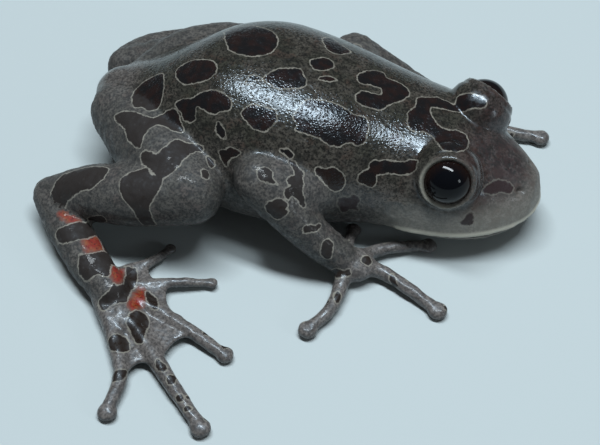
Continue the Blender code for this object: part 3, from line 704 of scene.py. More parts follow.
def add_web(mesh, first, second, reaches):
    """A thin skin between two toes, with a hollow free edge."""
    lift = np.array((0.0, 0.0, WEB_THICKNESS / 2))
    rings = []
    for across in np.linspace(0, 1, WEB_GRID[0]):
        sag = WEB_SAG * 4 * across * (1 - across) * min(reaches)
        reach = (1 - across) * reaches[0] + across * reaches[1] - sag
        row = []
        for along in np.linspace(0, reach, WEB_GRID[1]):
            row.append((1 - across) * point_along(first, along) + across * point_along(second, along))
        rings.append([point + lift for point in row] + [point - lift for point in row[::-1]])
    add_rings(mesh, rings)


def add_digit(mesh, points, radii, disc, size):
    """A finger or toe, with the round pad at its tip."""
    add_tube(mesh, radii_along(points, [size * radius for radius in radii]))
    add_ball(mesh, points[-1], (size * disc, size * disc, size * disc * DISC_FLATNESS))


def add_sole(mesh, pose):
    """The flesh that joins the roots of the longer toes."""
    start, end = (np.array(pose["toes"][3][i]) for i in (0, 2))
    heading = np.arctan2(end[1] - start[1], end[0] - start[0])
    add_ball(mesh, pose["sole"], SOLE, Matrix.Rotation(heading, 3, "Z"))


def add_limbs(mesh, pose, side, labels):
    """The arm, hand, leg and foot of one side, with a label for each span of vertices."""
    for name, radii in (("thigh", THIGH), ("shank", SHANK), ("tarsus", TARSUS)):
        add_tube(mesh, radii_along(pose[name], radii))
        labels.append((side + "_" + name, len(mesh.verts)))
    for toe, size in zip(pose["toes"], TOE_SIZES):
        add_digit(mesh, toe, TOE, TOE_DISC, size)
    for first, second, reaches in zip(pose["toes"], pose["toes"][1:], pose["webs"]):
        add_web(mesh, first, second, reaches)
    add_sole(mesh, pose)
    labels.append((side + "_foot", len(mesh.verts)))
    for name, radii in (("upper_arm", UPPER_ARM), ("forearm", FOREARM)):
        add_tube(mesh, radii_along(pose[name], radii))
        labels.append((side + "_" + name, len(mesh.verts)))
    add_ball(mesh, np.array(pose["fingers"][2][0]) + PALM_SHIFT, PALM)
    for finger, size in zip(pose["fingers"], FINGER_SIZES):
        add_digit(mesh, finger, FINGER, FINGER_DISC, size)
    labels.append((side + "_hand", len(mesh.verts)))


def new_object(name, mesh):
    """An object from this bmesh, which is freed."""
    bmesh.ops.recalc_face_normals(mesh, faces=mesh.faces)
    data = bpy.data.meshes.new(name)
    mesh.to_mesh(data)
    mesh.free()
    obj = bpy.data.objects.new(name, data)
    bpy.context.scene.collection.objects.link(obj)
    return obj


def apply_modifiers(obj):
    """Turns what the modifiers make into the object's own mesh."""
    graph = bpy.context.evaluated_depsgraph_get()
    made = bpy.data.meshes.new_from_object(obj.evaluated_get(graph))
    obj.modifiers.clear()
    obj.data = made


def points_of(obj):
    """The object's vertices in millimetres."""
    flat = np.empty(3 * len(obj.data.vertices))
    obj.data.vertices.foreach_get("co", flat)
    return flat.reshape(-1, 3) / MM


def normals_of(obj):
    """The direction of the surface at each vertex."""
    flat = np.empty(3 * len(obj.data.vertices))
    obj.data.vertices.foreach_get("normal", flat)
    return flat.reshape(-1, 3)


def move_points(obj, points):
    """Puts the object's vertices at these places in millimetres."""
    obj.data.vertices.foreach_set("co", (points * MM).ravel())
    obj.data.update()


def fuse(skin, rounds):
    """Makes one closed surface of even small faces, smoothed this many times."""
    step = skin.modifiers.new("fuse", "REMESH")
    step.mode = "VOXEL"
    step.voxel_size = VOXEL * MM
    relax = skin.modifiers.new("relax", "SMOOTH")
    relax.factor = SMOOTH_SHARE
    relax.iterations = rounds
    apply_modifiers(skin)


def fused_skin():
    """The whole frog as one smooth closed surface, with the points it came from and their labels."""
    mesh = bmesh.new()
    add_body(mesh)
    add_head_details(mesh)
    labels = [("body", len(mesh.verts))]
    add_limbs(mesh, RIGHT, "right", labels)
    add_limbs(mesh, LEFT, "left", labels)
    skin = new_object("skin", mesh)
    samples = points_of(skin)
    fuse(skin, SMOOTH_ROUNDS)
    open_lids(skin)
    fuse(skin, LID_ROUNDS)
    return skin, samples, labels


def settle_creases(skin, labels):
    """Eases the sharp valleys where limbs meet the trunk and lie against each other."""
    points = points_of(skin)
    soft = labelled(labels, "body", *SOFT_PARTS) & (points[:, 0] < HEAD_FROM)
    share = smoothed(skin, soft.astype(float), TONE_ROUNDS)[:, None]
    for _ in range(CREASE_ROUNDS):
        even = np.column_stack([smoothed(skin, column, 1) for column in points.T])
        points += share * (even - points)
    move_points(skin, points)


def nearest_labels(points, samples, labels):
    """For each point, the label of the shape whose surface is nearest."""
    tree = tree_of_points(samples)
    nearest = np.array([tree.find(point)[1] for point in points])
    ends = np.array([end for _, end in labels])
    names = np.array([name for name, _ in labels])
    return names[np.searchsorted(ends, nearest, side="right")]


def labelled(labels, *parts):
    """Which labels name one of these parts, on either side or in the middle."""
    return np.isin(labels, [side + part for side in ("", "right_", "left_") for part in parts])


def camera_axes():
    """The camera's right, up and backward directions."""
    azimuth, elevation = np.radians(VIEW_AZIMUTH), np.radians(VIEW_ELEVATION)
    back = np.array(
        (np.sin(azimuth) * np.cos(elevation), -np.cos(azimuth) * np.cos(elevation), np.sin(elevation))
    )
    right = np.array((np.cos(azimuth), np.sin(azimuth), 0.0))
    return right, np.cross(back, right), back


def camera_place():
    """Where the camera stands, in millimetres."""
    return np.array(VIEW_TARGET) + VIEW_DISTANCE * camera_axes()[2]


def pixel_ray(x, y):
    """The direction from the camera through a pixel of the photograph."""
    right, up, back = camera_axes()
    across, upward = x - PHOTO_WIDTH / 2, PHOTO_HEIGHT / 2 - y
    return unit((right * across + up * upward) / FOCAL_PIXELS - back)


def unit(vectors):
    """The vectors made one long."""
    vectors = np.asarray(vectors, dtype=float)
    return vectors / np.linalg.norm(vectors, axis=-1, keepdims=True)


def closed_curve(corners):
    """A smooth closed curve through these corners."""
    before, after, beyond = (np.roll(corners, shift, axis=0) for shift in (1, -1, -2))
    rows = []
    for t in np.linspace(0, 1, CURVE_STEPS, endpoint=False):
        straight = 2 * corners + (after - before) * t
        bent = (2 * before - 5 * corners + 4 * after - beyond) * t**2
        rows.append((straight + bent + (3 * corners - before - 3 * after + beyond) * t**3) / 2)
    return np.stack(rows, axis=1).reshape(-1, 2)


def plane_axes(normal):
    """Two directions along a plane, and the one out of it."""
    along = unit(np.cross((0.0, 0.0, 1.0) if abs(normal[2]) < STEEP else (0.0, 1.0, 0.0), normal))
    return np.array((along, np.cross(normal, along), normal))


def patch_from_pixels(tree, outline):
    """An outline of the photograph laid on the plane that touches the skin it shows."""
    hits = [tree.ray_cast(camera_place(), pixel_ray(x, y))[:2] for x, y in outline]
    shown = [(np.array(place), np.array(normal)) for place, normal in hits if place is not None]
    if not shown:
        raise ValueError(f"the outline from {outline[0]} shows no skin")
    centre = np.median([place for place, _ in shown], axis=0)
    axes = plane_axes(unit(np.sum([normal for _, normal in shown], axis=0)))
    corners = []
    for (x, y), (place, _) in zip(outline, hits):
        if place is None or abs((np.array(place) - centre) @ axes[2]) > PATCH_DEPTH:
            eye, ray = camera_place(), pixel_ray(x, y)
            place = eye + ray * ((centre - eye) @ axes[2]) / (ray @ axes[2])
        corners.append(axes[:2] @ (np.array(place) - centre))
    return centre, axes, closed_curve(np.array(corners))


def outline_distance(flat, curve):
    """How far points of a plane lie outside a closed curve, negative inside it."""
    inside = np.zeros(len(flat), dtype=bool)
    nearest = np.full(len(flat), FAR)
    for start, end in zip(curve, np.roll(curve, -1, axis=0)):
        way = end - start
        share = np.clip(((flat - start) @ way) / max(way @ way, TINY), 0, 1)
        nearest = np.minimum(nearest, np.linalg.norm(flat - start - share[:, None] * way, axis=1))
        between = (start[1] > flat[:, 1]) != (end[1] > flat[:, 1])
        rise = way[1] if abs(way[1]) > TINY else TINY
        inside ^= between & (flat[:, 0] < start[0] + (flat[:, 1] - start[1]) * way[0] / rise)
    return np.where(inside, -nearest, nearest)


def patch_distance(points, normals, patches):
    """The distance of each point of the skin outside the nearest patch, negative inside it."""
    nearest = np.full(len(points), FAR)
    for centre, axes, curve in patches:
        offset = (points - centre) @ axes.T
        reach = np.abs(curve).max(axis=0) + PATCH_MARGIN
        turned = np.maximum(0.0, LEAST_FACING - normals @ axes[2])
        near = (np.abs(offset[:, :2]) < reach).all(axis=1)
        near &= (np.abs(offset[:, 2]) < 2 * PATCH_DEPTH) & (turned < 1)
        lost = PATCH_FADE * turned[near] + np.maximum(0.0, np.abs(offset[near, 2]) - PATCH_DEPTH)
        nearest[near] = np.minimum(nearest[near], outline_distance(offset[near, :2], curve) + lost)
    return nearest


def made_up_patch(draw, place, normal, half_length):
    """An uneven oval blotch on skin that the photograph doesn't show."""
    half_width = half_length * draw.uniform(*SLENDERNESS)
    angles = np.linspace(0, 2 * np.pi, CORNERS, endpoint=False)
    reach = draw.uniform(1 - UNEVENNESS, 1 + UNEVENNESS, CORNERS)
    corners = np.column_stack([half_length * np.cos(angles), half_width * np.sin(angles)])
    corners *= reach[:, None]
    turn = draw.uniform(0, np.pi)
    corners = corners @ np.array(((np.cos(turn), np.sin(turn)), (-np.sin(turn), np.cos(turn))))
    return place, plane_axes(normal), closed_curve(corners)


def tree_of_points(points):
    """A search tree of points."""
    tree = kdtree.KDTree(len(points))
    for number, point in enumerate(points):
        tree.insert(point, number)
    tree.balance()
    return tree


def made_up_patches(points, normals, labels, shown, clearance):
    """Blotches for every side that the photograph doesn't show, from a seeded draw."""
    draw = np.random.default_rng(MARKING_SEED)
    in_photo = tree_of_points(points[shown])
    free = np.flatnonzero(~shown & (normals[:, 2] > MARKED_DOWN_TO) & (clearance > BLOTCH_GAP))
    patches, sizes = [], []
    for vertex in draw.permutation(free)[:MOST_TRIES]:
        part = labels[vertex].split("_", 1)[-1]
        half_length = draw.uniform(*(BODY_BLOTCHES if part == "body" else SKIN_OF_PARTS[part][0]))
        room = half_length + BLOTCH_GAP
        if clearance[vertex] < room or in_photo.find(points[vertex])[2] < half_length * HIDDEN_SHARE:
            continue
        places = [place for place, _, _ in patches]
        gaps = [np.linalg.norm(points[vertex] - place) - size for place, size in zip(places, sizes)]
        if gaps and min(gaps) < room:
            continue
        patches.append(made_up_patch(draw, points[vertex], normals[vertex], half_length))
        sizes.append(half_length * ROUNDED_SHARE)
    return patches


def in_view(points, normals, tree):
    """Which points of the skin the photograph shows."""
    eye = camera_place()
    toward = unit(eye - points)
    shown = np.einsum("ij,ij->i", toward, normals) > FACING_CAMERA
    for number in np.flatnonzero(shown):
        start = points[number] + SKIN_CLEARANCE * normals[number]
        shown[number] = tree.ray_cast(start, toward[number])[0] is None
    return shown


def limb_frame(path):
    """Points along a limb, each with the directions along, beside and over it."""
    rows = smooth_rows(path, FRAME_SAMPLES)
    along = unit(np.gradient(rows, axis=0))
    beside = unit(np.cross((0.0, 0.0, 1.0), along))
    return rows, np.stack([along, beside, np.cross(along, beside)], axis=1)


def carried_over(points, normals, from_path, to_path):
    """Points and directions round one side's limb, carried to the same places round the other's."""
    rows, frames = limb_frame(from_path)
    other_rows, other_frames = limb_frame(to_path)
    nearest = np.argmin(np.linalg.norm(points[:, None] - rows[None], axis=2), axis=1)

    def turned(vectors):
        local = np.einsum("ijk,ik->ij", frames[nearest], vectors) * (1.0, -1.0, 1.0)
        return np.einsum("ijk,ij->ik", other_frames[nearest], local)

    return other_rows[nearest] + turned(points - rows[nearest]), turned(normals)


def limb_path(pose, part):
    """The middle line of a limb or foot."""
    return pose["toes"][3] if part == "foot" else pose[part]


def soft_step(values, low, high):
    """0 below low, 1 above high, and smooth between."""
    t = np.clip((values - low) / (high - low), 0, 1)
    return t * t * (3 - 2 * t)


def line_distance(points, line):
    """The distance of each point from a broken line."""
    nearest = np.full(len(points), FAR)
    for start, end in zip(line, line[1:]):
        way = end - start
        share = np.clip(((points - start) @ way) / (way @ way), 0, 1)
        nearest = np.minimum(nearest, np.linalg.norm(points - start - share[:, None] * way, axis=1))
    return nearest


def near_line(points, line, width):
    """1 on a line, falling smoothly to 0 beyond its width."""
    return np.exp(-((line_distance(points, line) / width) ** 2))


def add_ridge(points, normals, line, height, width):
    """The points raised along a line, or sunk where the height is negative."""
    return points + height * near_line(points, line, width)[:, None] * normals


def ring_round(centre, aim, radius, count):
    """A closed ring of points round a direction."""
    turn = np.array(aim.to_track_quat("Z", "Y").to_matrix())
    angles = np.linspace(0, 2 * np.pi, count + 1)
    ring = np.column_stack([radius * np.cos(angles), radius * np.sin(angles), np.zeros(count + 1)])
    return centre + ring @ turn.T


def eye_ring(side, radius):
    """A ring of points on the dome of the lids, round the eye."""
    aim = head_direction(EYE_AIM, side)
    dome = EYE_RADIUS + SEAM + LID_THICKNESS
    ahead = (dome**2 - radius**2) ** 0.5 - LID_SINK
    centre = np.array(head_point(EYE_PLACE, side) + aim * ahead)
    return ring_round(centre, aim, radius, EYE_RING_POINTS)


def ear_ring(centre, side):
    """A ring round the ear patch."""
    return ring_round(centre, head_direction(EAR_AIM, side), EAR_RADIUS, EAR_RING_POINTS)


def nearest_skin(tree, place):
    """The point of the skin nearest to a place."""
    return np.array(tree.find_nearest(place)[0])


def nostril_line(tree, side):
    """The short slit of a nostril."""
    place = nearest_skin(tree, head_point(NOSTRIL_PLACE, side))
    return np.array([place, place + NOSTRIL_SLIT])


def opening_radius():
    """The radius of the gap between the lids."""
    return (EYE_RADIUS**2 - EYE_SINK**2) ** 0.5 - LID_CLEARANCE


def open_lids(skin):
    """Cuts the gap between the lids, down to behind the front of each eyeball."""
    for side in (-1, 1):
        aim = head_direction(EYE_AIM, side)
        turn = aim.to_track_quat("Z", "Y").to_matrix().to_4x4()
        depth = EYE_RADIUS
        start = RIM_START * EYE_SINK
        spread = opening_radius() / EYE_SINK
        middle = head_point(EYE_PLACE, side) + aim * (start + depth / 2)
        mesh = bmesh.new()
        bmesh.ops.create_cone(
            mesh,
            cap_ends=True,
            segments=4 * SIDES,
            radius1=spread * start * MM,
            radius2=spread * (start + depth) * MM,
            depth=depth * MM,
            matrix=Matrix.Translation(middle * MM) @ turn,
        )
        cutter = new_object("lid_cutter", mesh)
        step = skin.modifiers.new("lids", "BOOLEAN")
        step.operation = "DIFFERENCE"
        step.solver = "MANIFOLD"
        step.object = cutter
        apply_modifiers(skin)
        bpy.data.objects.remove(cutter, do_unlink=True)


def add_wrinkles(skin, points, normals, labels):
    """Fine wrinkles all over, except on the flats that rest on the floor."""
    places = [Vector(point) * WRINKLES_PER_MM for point in points]
    heights = np.array([noise.fractal(place, *WRINKLE_LAYERS) for place in places])
    share = np.where((labels == "body") & (normals[:, 2] > 0), BACK_WRINKLES, LIMB_WRINKLES)
    level = (np.abs(normals[:, 2]) > LEVEL_TURN) & (points[:, 2] < FLOOR_MARGIN)
    share = np.where(level, 0.0, smoothed(skin, share, TONE_ROUNDS))
    return points + (share * heights)[:, None] * normals


def carve_details(skin, labels, tree):
    """Folds of the lids, nostrils, ears, the line of the mouth, and fine wrinkles."""
    points, normals = points_of(skin), normals_of(skin)
    for side in (-1, 1):
        for radius, height, width in LID_FOLDS:
            points = add_ridge(points, normals, eye_ring(side, radius), height, width)
        points = add_ridge(points, normals, nostril_line(tree, side), *NOSTRIL_FOLD)
        ear = nearest_skin(tree, head_point(EAR_PLACE, side))
        points = add_ridge(points, normals, ear_ring(ear, side), *EAR_FOLD)
    points = add_ridge(points, normals, lip_points(0.0), *MOUTH_FOLD)
    points = add_wrinkles(skin, points, normals, labels)
    points[:, 2] = np.maximum(points[:, 2], 0.0)
    move_points(skin, points)


def smoothed(skin, values, rounds):
    """Values evened out between neighbouring vertices."""
    ends = np.empty(2 * len(skin.data.edges), dtype=np.int64)
    skin.data.edges.foreach_get("vertices", ends)
    first, second = ends.reshape(-1, 2).T
    count = np.bincount(first, minlength=len(values)) + np.bincount(second, minlength=len(values)) + 1
    for _ in range(rounds):
        total = values + np.bincount(first, values[second], len(values))
        total += np.bincount(second, values[first], len(values))
        values = total / count
    return values


def mark_fields(points, normals, labels, tree):
    """The distances to dark blotches, faint blotches and red patches for each point."""
    where, facing = points.copy(), normals.copy()
    for part in REPEATED_PARTS:
        chosen = labels == "left_" + part
        paths = limb_path(LEFT, part), limb_path(RIGHT, part)
        where[chosen], facing[chosen] = carried_over(points[chosen], normals[chosen], *paths)
    groups = (
        (DARK, BACK_BLOTCHES + HEAD_BLOTCHES + THIGH_BLOTCHES, ("body", "thigh", "shank", "upper_arm")),
        (DARK, SHANK_BLOTCHES, ("body", "thigh", "shank")),
        (DARK, FOOT_BLOTCHES, ("tarsus", "foot")),
        (DARK, ARM_BLOTCHES, ("body", "upper_arm", "forearm", "hand")),
        (DARK, HAND_BLOTCHES, ("forearm", "hand")),
        (FAINT, FAINT_BLOTCHES, ("body", "thigh", "shank", "upper_arm")),
        (RED, RED_PATCHES, ("tarsus", "foot")),
    )
    fields = np.full((3, len(points)), FAR)
    for kind, outlines, parts in groups:
        marked = labelled(labels, *parts)
        patches = [patch_from_pixels(tree, outline) for outline in outlines]
        distance = patch_distance(where[marked], facing[marked], patches)
        fields[kind, marked] = np.minimum(fields[kind, marked], distance)
    shown = in_view(points, normals, tree)
    unmarked = shown & np.char.startswith(labels, "left")
    fields[:, unmarked] = FAR
    made_up = made_up_patches(points, normals, labels, shown, fields[DARK])
    fields[DARK] = np.minimum(fields[DARK], patch_distance(points, normals, made_up))
    return fields


def store(obj, name, values):
    """Keeps a value for each vertex, for the material to read."""
    attribute = obj.data.attributes.new(name, "FLOAT", "POINT")
    attribute.data.foreach_set("value", np.asarray(values, dtype=np.float32))


def cheeks(points):
    """1 low on the sides of the head, falling smoothly to 0 above and behind."""
    return soft_step(-points[:, 2], *CHEEK_LEVELS) * soft_step(points[:, 0], *CHEEK_SPAN)


def tones(skin, points, normals, labels):
    """How light and pinkish the skin is: least on the back, most on the limbs, cheeks and belly."""
    values = np.zeros(len(points))
    for part, (_, tone, _) in SKIN_OF_PARTS.items():
        values[labelled(labels, part)] = tone
    body = labels == "body"
    values[body] = np.maximum(
        cheeks(points[body]),
        BELLY_TONE * soft_step(-normals[body, 2], *BELLY_TURN),
    )
    flank = FLANK_TONE * body * soft_step(-normals[:, 2], *FLANK_TURN)
    values = np.maximum(values, smoothed(skin, flank, TONE_ROUNDS))
    values = np.maximum(values, RUMP_TONE * body * soft_step(-points[:, 0], *RUMP_SPAN))
    return smoothed(skin, values, TONE_ROUNDS)


def paleness_and_rim_light(points, body):
    """Full on the lips, weak on the cheeks and 0 elsewhere; the rims of the lids are pale with painted
    light, full on their lower rear side where light falls and weaker on their shaded side.
    """
    lip = lip_points(0.0) + np.array((0.0, 0.0, LIP_RISE))
    pale = near_line(points, lip, LIP_LINE)
    pale = np.maximum(pale, CHEEK_PALENESS * body * cheeks(points))
    for side in (-1, 1):
        offset = points - np.array(head_point(EYE_PLACE, side))
        # Painted light: the rim is palest on its lower rear side, where light falls on it
        lit = soft_step(offset @ np.array(head_direction(RIM_LIGHT_FROM, side)), *RIM_LIGHT_TURN)
        rim = near_line(points, eye_ring(side, RIM_PLACE), RIM_WIDTH)
        pale = np.maximum(pale, (RIM_SHADED_SHARE + (1 - RIM_SHADED_SHARE) * lit) * rim)
    return pale


def pit_shade(points, tree):
    """Painted shade: 1 in the nostrils and the line of the mouth, falling smoothly to 0 round them."""
    values = near_line(points, lip_points(-LIP_INSET), MOUTH_SHADE_WIDTH)
    for side in (-1, 1):
        values = np.maximum(values, near_line(points, nostril_line(tree, side), NOSTRIL_SHADE_RADIUS))
    return values


def wetness(skin, labels, back, near_eye):
    """How wet the skin is: most on the back, then round the eyes and on hands and feet."""
    values = BODY_WETNESS + (1 - BODY_WETNESS) * back
    for part, (_, _, wet) in SKIN_OF_PARTS.items():
        values[labelled(labels, part)] = wet
    return np.maximum(smoothed(skin, values, TONE_ROUNDS), EYE_WETNESS * near_eye)


def paint(skin, labels, tree):
    """Works out the markings and tones of the skin."""
    points, normals = points_of(skin), normals_of(skin)
    dark, faint, red = mark_fields(points, normals, labels, tree)
    eyes = [np.array(head_point(EYE_PLACE, side)) for side in (-1, 1)]
    from_eye = np.min([np.linalg.norm(points - eye, axis=1) for eye in eyes], axis=0)
    near_eye = soft_step(-from_eye, *SMOOTH_BEYOND)
    body = labels == "body"
    head = soft_step(points[:, 0], *BROWN_SPAN)
    back = body * soft_step(normals[:, 2], *GRAIN_TURN) * (1 - head)
    grain = smoothed(skin, LIMB_GRAIN + (1 - LIMB_GRAIN) * back, TONE_ROUNDS)
    values = {
        "dark": dark + FAR * (from_eye < BARE_WITHIN),
        "faint": faint,
        "red": red,
        "tone": tones(skin, points, normals, labels),
        "brown": body * head,
        # Pale lips and cheeks, and pale lid rims with painted light on their lit side
        "pale": paleness_and_rim_light(points, body),
        # Painted shade in the nostrils and the line of the mouth
        "pit_shade": pit_shade(points, tree),
        "grain": grain * (1 - LID_SMOOTHNESS * near_eye),
        "wet": wetness(skin, labels, back, near_eye),
    }
    for name, field in values.items():
        store(skin, name, field)


class Nodes:
    """Short ways to add and join a material's nodes."""

    def __init__(self, name):
        self.material = bpy.data.materials.new(name)
        self.material.use_nodes = True
        self.tree = self.material.node_tree
        self.surface = self.tree.nodes["Principled BSDF"]

    def add(self, kind, **settings):
        node = self.tree.nodes.new(kind)
        for name, value in settings.items():
            setattr(node, name, value)
        return node

    def join(self, output, target):
        self.tree.links.new(output, target)

    def value(self, name):
        node = self.add("ShaderNodeAttribute", attribute_name=name)
        return node.outputs["Fac"]

    def place(self):
        return self.add("ShaderNodeTexCoord").outputs["Object"]

    def noise(self, per_mm, detail, roughness):
        node = self.add("ShaderNodeTexNoise")
        node.inputs["Scale"].default_value = per_mm / MM
        node.inputs["Detail"].default_value = detail
        node.inputs["Roughness"].default_value = roughness
        self.join(self.place(), node.inputs["Vector"])
        return node.outputs["Fac"]

    def cells(self, per_mm):
        node = self.add("ShaderNodeTexVoronoi")
        node.inputs["Scale"].default_value = per_mm / MM
        self.join(self.place(), node.inputs["Vector"])
        return node.outputs["Distance"]

    def ramp(self, source, low, high, from_value=0.0, to_value=1.0):
        node = self.add("ShaderNodeMapRange", interpolation_type="SMOOTHSTEP")
        node.inputs["From Min"].default_value = low
        node.inputs["From Max"].default_value = high
        node.inputs["To Min"].default_value = from_value
        node.inputs["To Max"].default_value = to_value
        self.join(source, node.inputs["Value"])
        return node.outputs["Result"]

    def pattern(self, name):
        """The strength of a named pattern at each point."""
        per_mm, detail, roughness, low, high, least, most = PATTERNS[name]
        return self.ramp(self.noise(per_mm, detail, roughness), low, high, least, most)

    def unevenness(self, per_mm, detail, roughness, swing):
        """A noise that swings about 0."""
        return self.times(self.maths("SUBTRACT", self.noise(per_mm, detail, roughness), 0.5), swing)

    def within(self, distance, edge, strength=1.0):
        """The strength up to the first of two distances, falling to 0 at the second."""
        return self.ramp(distance, *edge, strength, 0.0)

    def band(self, source, low, high):
        """1 between the two values and 0 outside them, with soft ends."""
        soft = (high - low) / 3
        rise = self.ramp(source, low - soft / 2, low + soft / 2)
        fall = self.ramp(source, high - soft / 2, high + soft / 2, 1.0, 0.0)
        return self.times(rise, fall)

    def maths(self, operation, first, second):
        node = self.add("ShaderNodeMath", operation=operation)
        for socket, source in zip(node.inputs, (first, second)):
            if isinstance(source, (int, float)):
                socket.default_value = source
            else:
                self.join(source, socket)
        return node.outputs["Value"]

    def times(self, first, second):
        return self.maths("MULTIPLY", first, second)

    def mix(self, share, first, second):
        node = self.add("ShaderNodeMix", data_type="RGBA")
        for number, source in ((0, share), (6, first), (7, second)):
            socket = node.inputs[number]
            if isinstance(source, (float, tuple)):
                socket.default_value = source
            else:
                self.join(source, socket)
        return node.outputs[2]


def ground_colour(nodes):
    """The olive-grey skin of the trunk, browner on the head."""
    colour = nodes.mix(nodes.pattern("clouds"), GROUND_OLIVE, GROUND_LIGHT)
    colour = nodes.mix(nodes.value("brown"), colour, HEAD_BROWN)
    colour = nodes.mix(nodes.pattern("warmth"), colour, GROUND_RED)
    spots = nodes.times(nodes.pattern("head spots"), nodes.value("brown"))
    colour = nodes.mix(spots, colour, FAINT_COLOUR)
    colour = nodes.mix(nodes.pattern("ground speckles"), colour, GROUND_DARK)
    return nodes.mix(nodes.pattern("mottles"), colour, GROUND_DARK)


def limb_colour(nodes):
    """The lighter, pinkish skin of the limbs."""
    colour = nodes.mix(nodes.pattern("limb speckles"), LIMB_LIGHT, LIMB_DARK)
    return nodes.mix(nodes.pattern("mottles"), colour, LIMB_DARK)


def red_colour(nodes):
    """The red patches, partly yellower, with dark specks."""
    colour = nodes.mix(nodes.pattern("yellow tints"), RED_COLOUR, RED_YELLOW)
    return nodes.mix(nodes.pattern("red speckles"), colour, BLOTCH_WARM)


def blotch_colour(nodes):
    """The dark blotches, browner on the limbs and dotted there."""
    colour = nodes.mix(nodes.pattern("blotch tints"), BLOTCH_COLOUR, BLOTCH_WARM)
    limb = nodes.ramp(nodes.value("tone"), *LIMB_BLOTCH_TONES)
    colour = nodes.mix(limb, colour, LIMB_BLOTCH)
    dots = nodes.within(nodes.cells(DOTS_PER_MM), DOT_EDGE)
    dots = nodes.times(dots, nodes.times(nodes.value("tone"), DOT_STRENGTH))
    return nodes.mix(dots, colour, LIMB_DARK)


def skin_colour(nodes):
    """The skin with its red patches, faint blotches and dark blotches, one over the other, and painted
    shade in the nostrils and the line of the mouth.
    """
    colour = nodes.mix(nodes.value("tone"), ground_colour(nodes), limb_colour(nodes))
    flush = nodes.times(nodes.pattern("head flush"), nodes.value("brown"))
    colour = nodes.mix(flush, colour, HEAD_RED)
    # Pale lips, cheeks and lid rims; the rims carry painted light, brighter on their lit side
    colour = nodes.mix(nodes.value("pale"), colour, PALE_COLOUR)
    ragged = nodes.unevenness(*RAGGED_EDGES)
    red_at = nodes.maths("ADD", nodes.value("red"), ragged)
    colour = nodes.mix(nodes.within(red_at, RED_RIM), colour, RED_EDGE)
    colour = nodes.mix(nodes.within(red_at, RED_CORE), colour, red_colour(nodes))
    faint_at = nodes.maths("ADD", nodes.value("faint"), ragged)
    outline = nodes.times(nodes.band(faint_at, *FAINT_OUTLINE), FAINT_OUTLINE_STRENGTH)
    colour = nodes.mix(outline, colour, OUTLINE_COLOUR)
    colour = nodes.mix(nodes.within(faint_at, FAINT_EDGE, FAINT_STRENGTH), colour, FAINT_COLOUR)
    dark_at = nodes.maths("ADD", nodes.value("dark"), nodes.times(ragged, DARK_RAGGEDNESS))
    outline = nodes.times(nodes.band(dark_at, *OUTLINE), nodes.pattern("outlines"))
    colour = nodes.mix(outline, colour, OUTLINE_COLOUR)
    colour = nodes.mix(nodes.within(dark_at, BLOTCH_EDGE), colour, blotch_colour(nodes))
    # Painted shade, in the blotches' dark colour, in the nostrils and the line of the mouth
    return nodes.mix(nodes.value("pit_shade"), colour, BLOTCH_COLOUR)


def skin_bump(nodes):
    """Granules and wrinkles finer than the mesh."""
    granules = nodes.within(nodes.cells(GRANULES_PER_MM), GRANULE_EDGE)
    wrinkles = nodes.times(nodes.noise(*BUMP_WRINKLES), BUMP_WRINKLE_HEIGHT)
    height = nodes.times(nodes.maths("ADD", granules, wrinkles), nodes.value("grain"))
    bump = nodes.add("ShaderNodeBump")
    bump.inputs["Strength"].default_value = 1.0
    bump.inputs["Distance"].default_value = BUMP_HEIGHT * MM
    nodes.join(height, bump.inputs["Height"])
    return bump.outputs["Normal"]


def skin_material():
    """Moist, granular skin that breaks the light up into fine sparkles."""
    nodes = Nodes("frog_skin")
    nodes.join(skin_colour(nodes), nodes.surface.inputs["Base Color"])
    wet = nodes.maths("ADD", nodes.value("wet"), nodes.unevenness(*DAMP_PATCHES))
    nodes.join(nodes.ramp(wet, *WET_AT, *ROUGHNESS), nodes.surface.inputs["Roughness"])
    nodes.surface.inputs["Specular IOR Level"].default_value = SKIN_GLOSS
    nodes.surface.inputs["Specular Tint"].default_value = GLARE_TINT
    nodes.surface.inputs["Coat Weight"].default_value = COAT
    nodes.surface.inputs["Coat Roughness"].default_value = COAT_ROUGHNESS
    bumpy = skin_bump(nodes)
    nodes.join(bumpy, nodes.surface.inputs["Normal"])
    nodes.join(bumpy, nodes.surface.inputs["Coat Normal"])
    return nodes.material


def eye_material():
    """A nearly black eye with a dark brown iris, under a clear wet surface."""
    nodes = Nodes("frog_eye")
    iris = nodes.mix(nodes.pattern("iris streaks"), PUPIL_COLOUR, IRIS_COLOUR)
    outside = nodes.ramp(nodes.value("pupil"), *PUPIL_EDGE)
    nodes.join(nodes.mix(outside, PUPIL_COLOUR, iris), nodes.surface.inputs["Base Color"])
    nodes.surface.inputs["Roughness"].default_value = EYE_ROUGHNESS
    nodes.surface.inputs["Specular IOR Level"].default_value = EYE_GLOSS
    return nodes.material


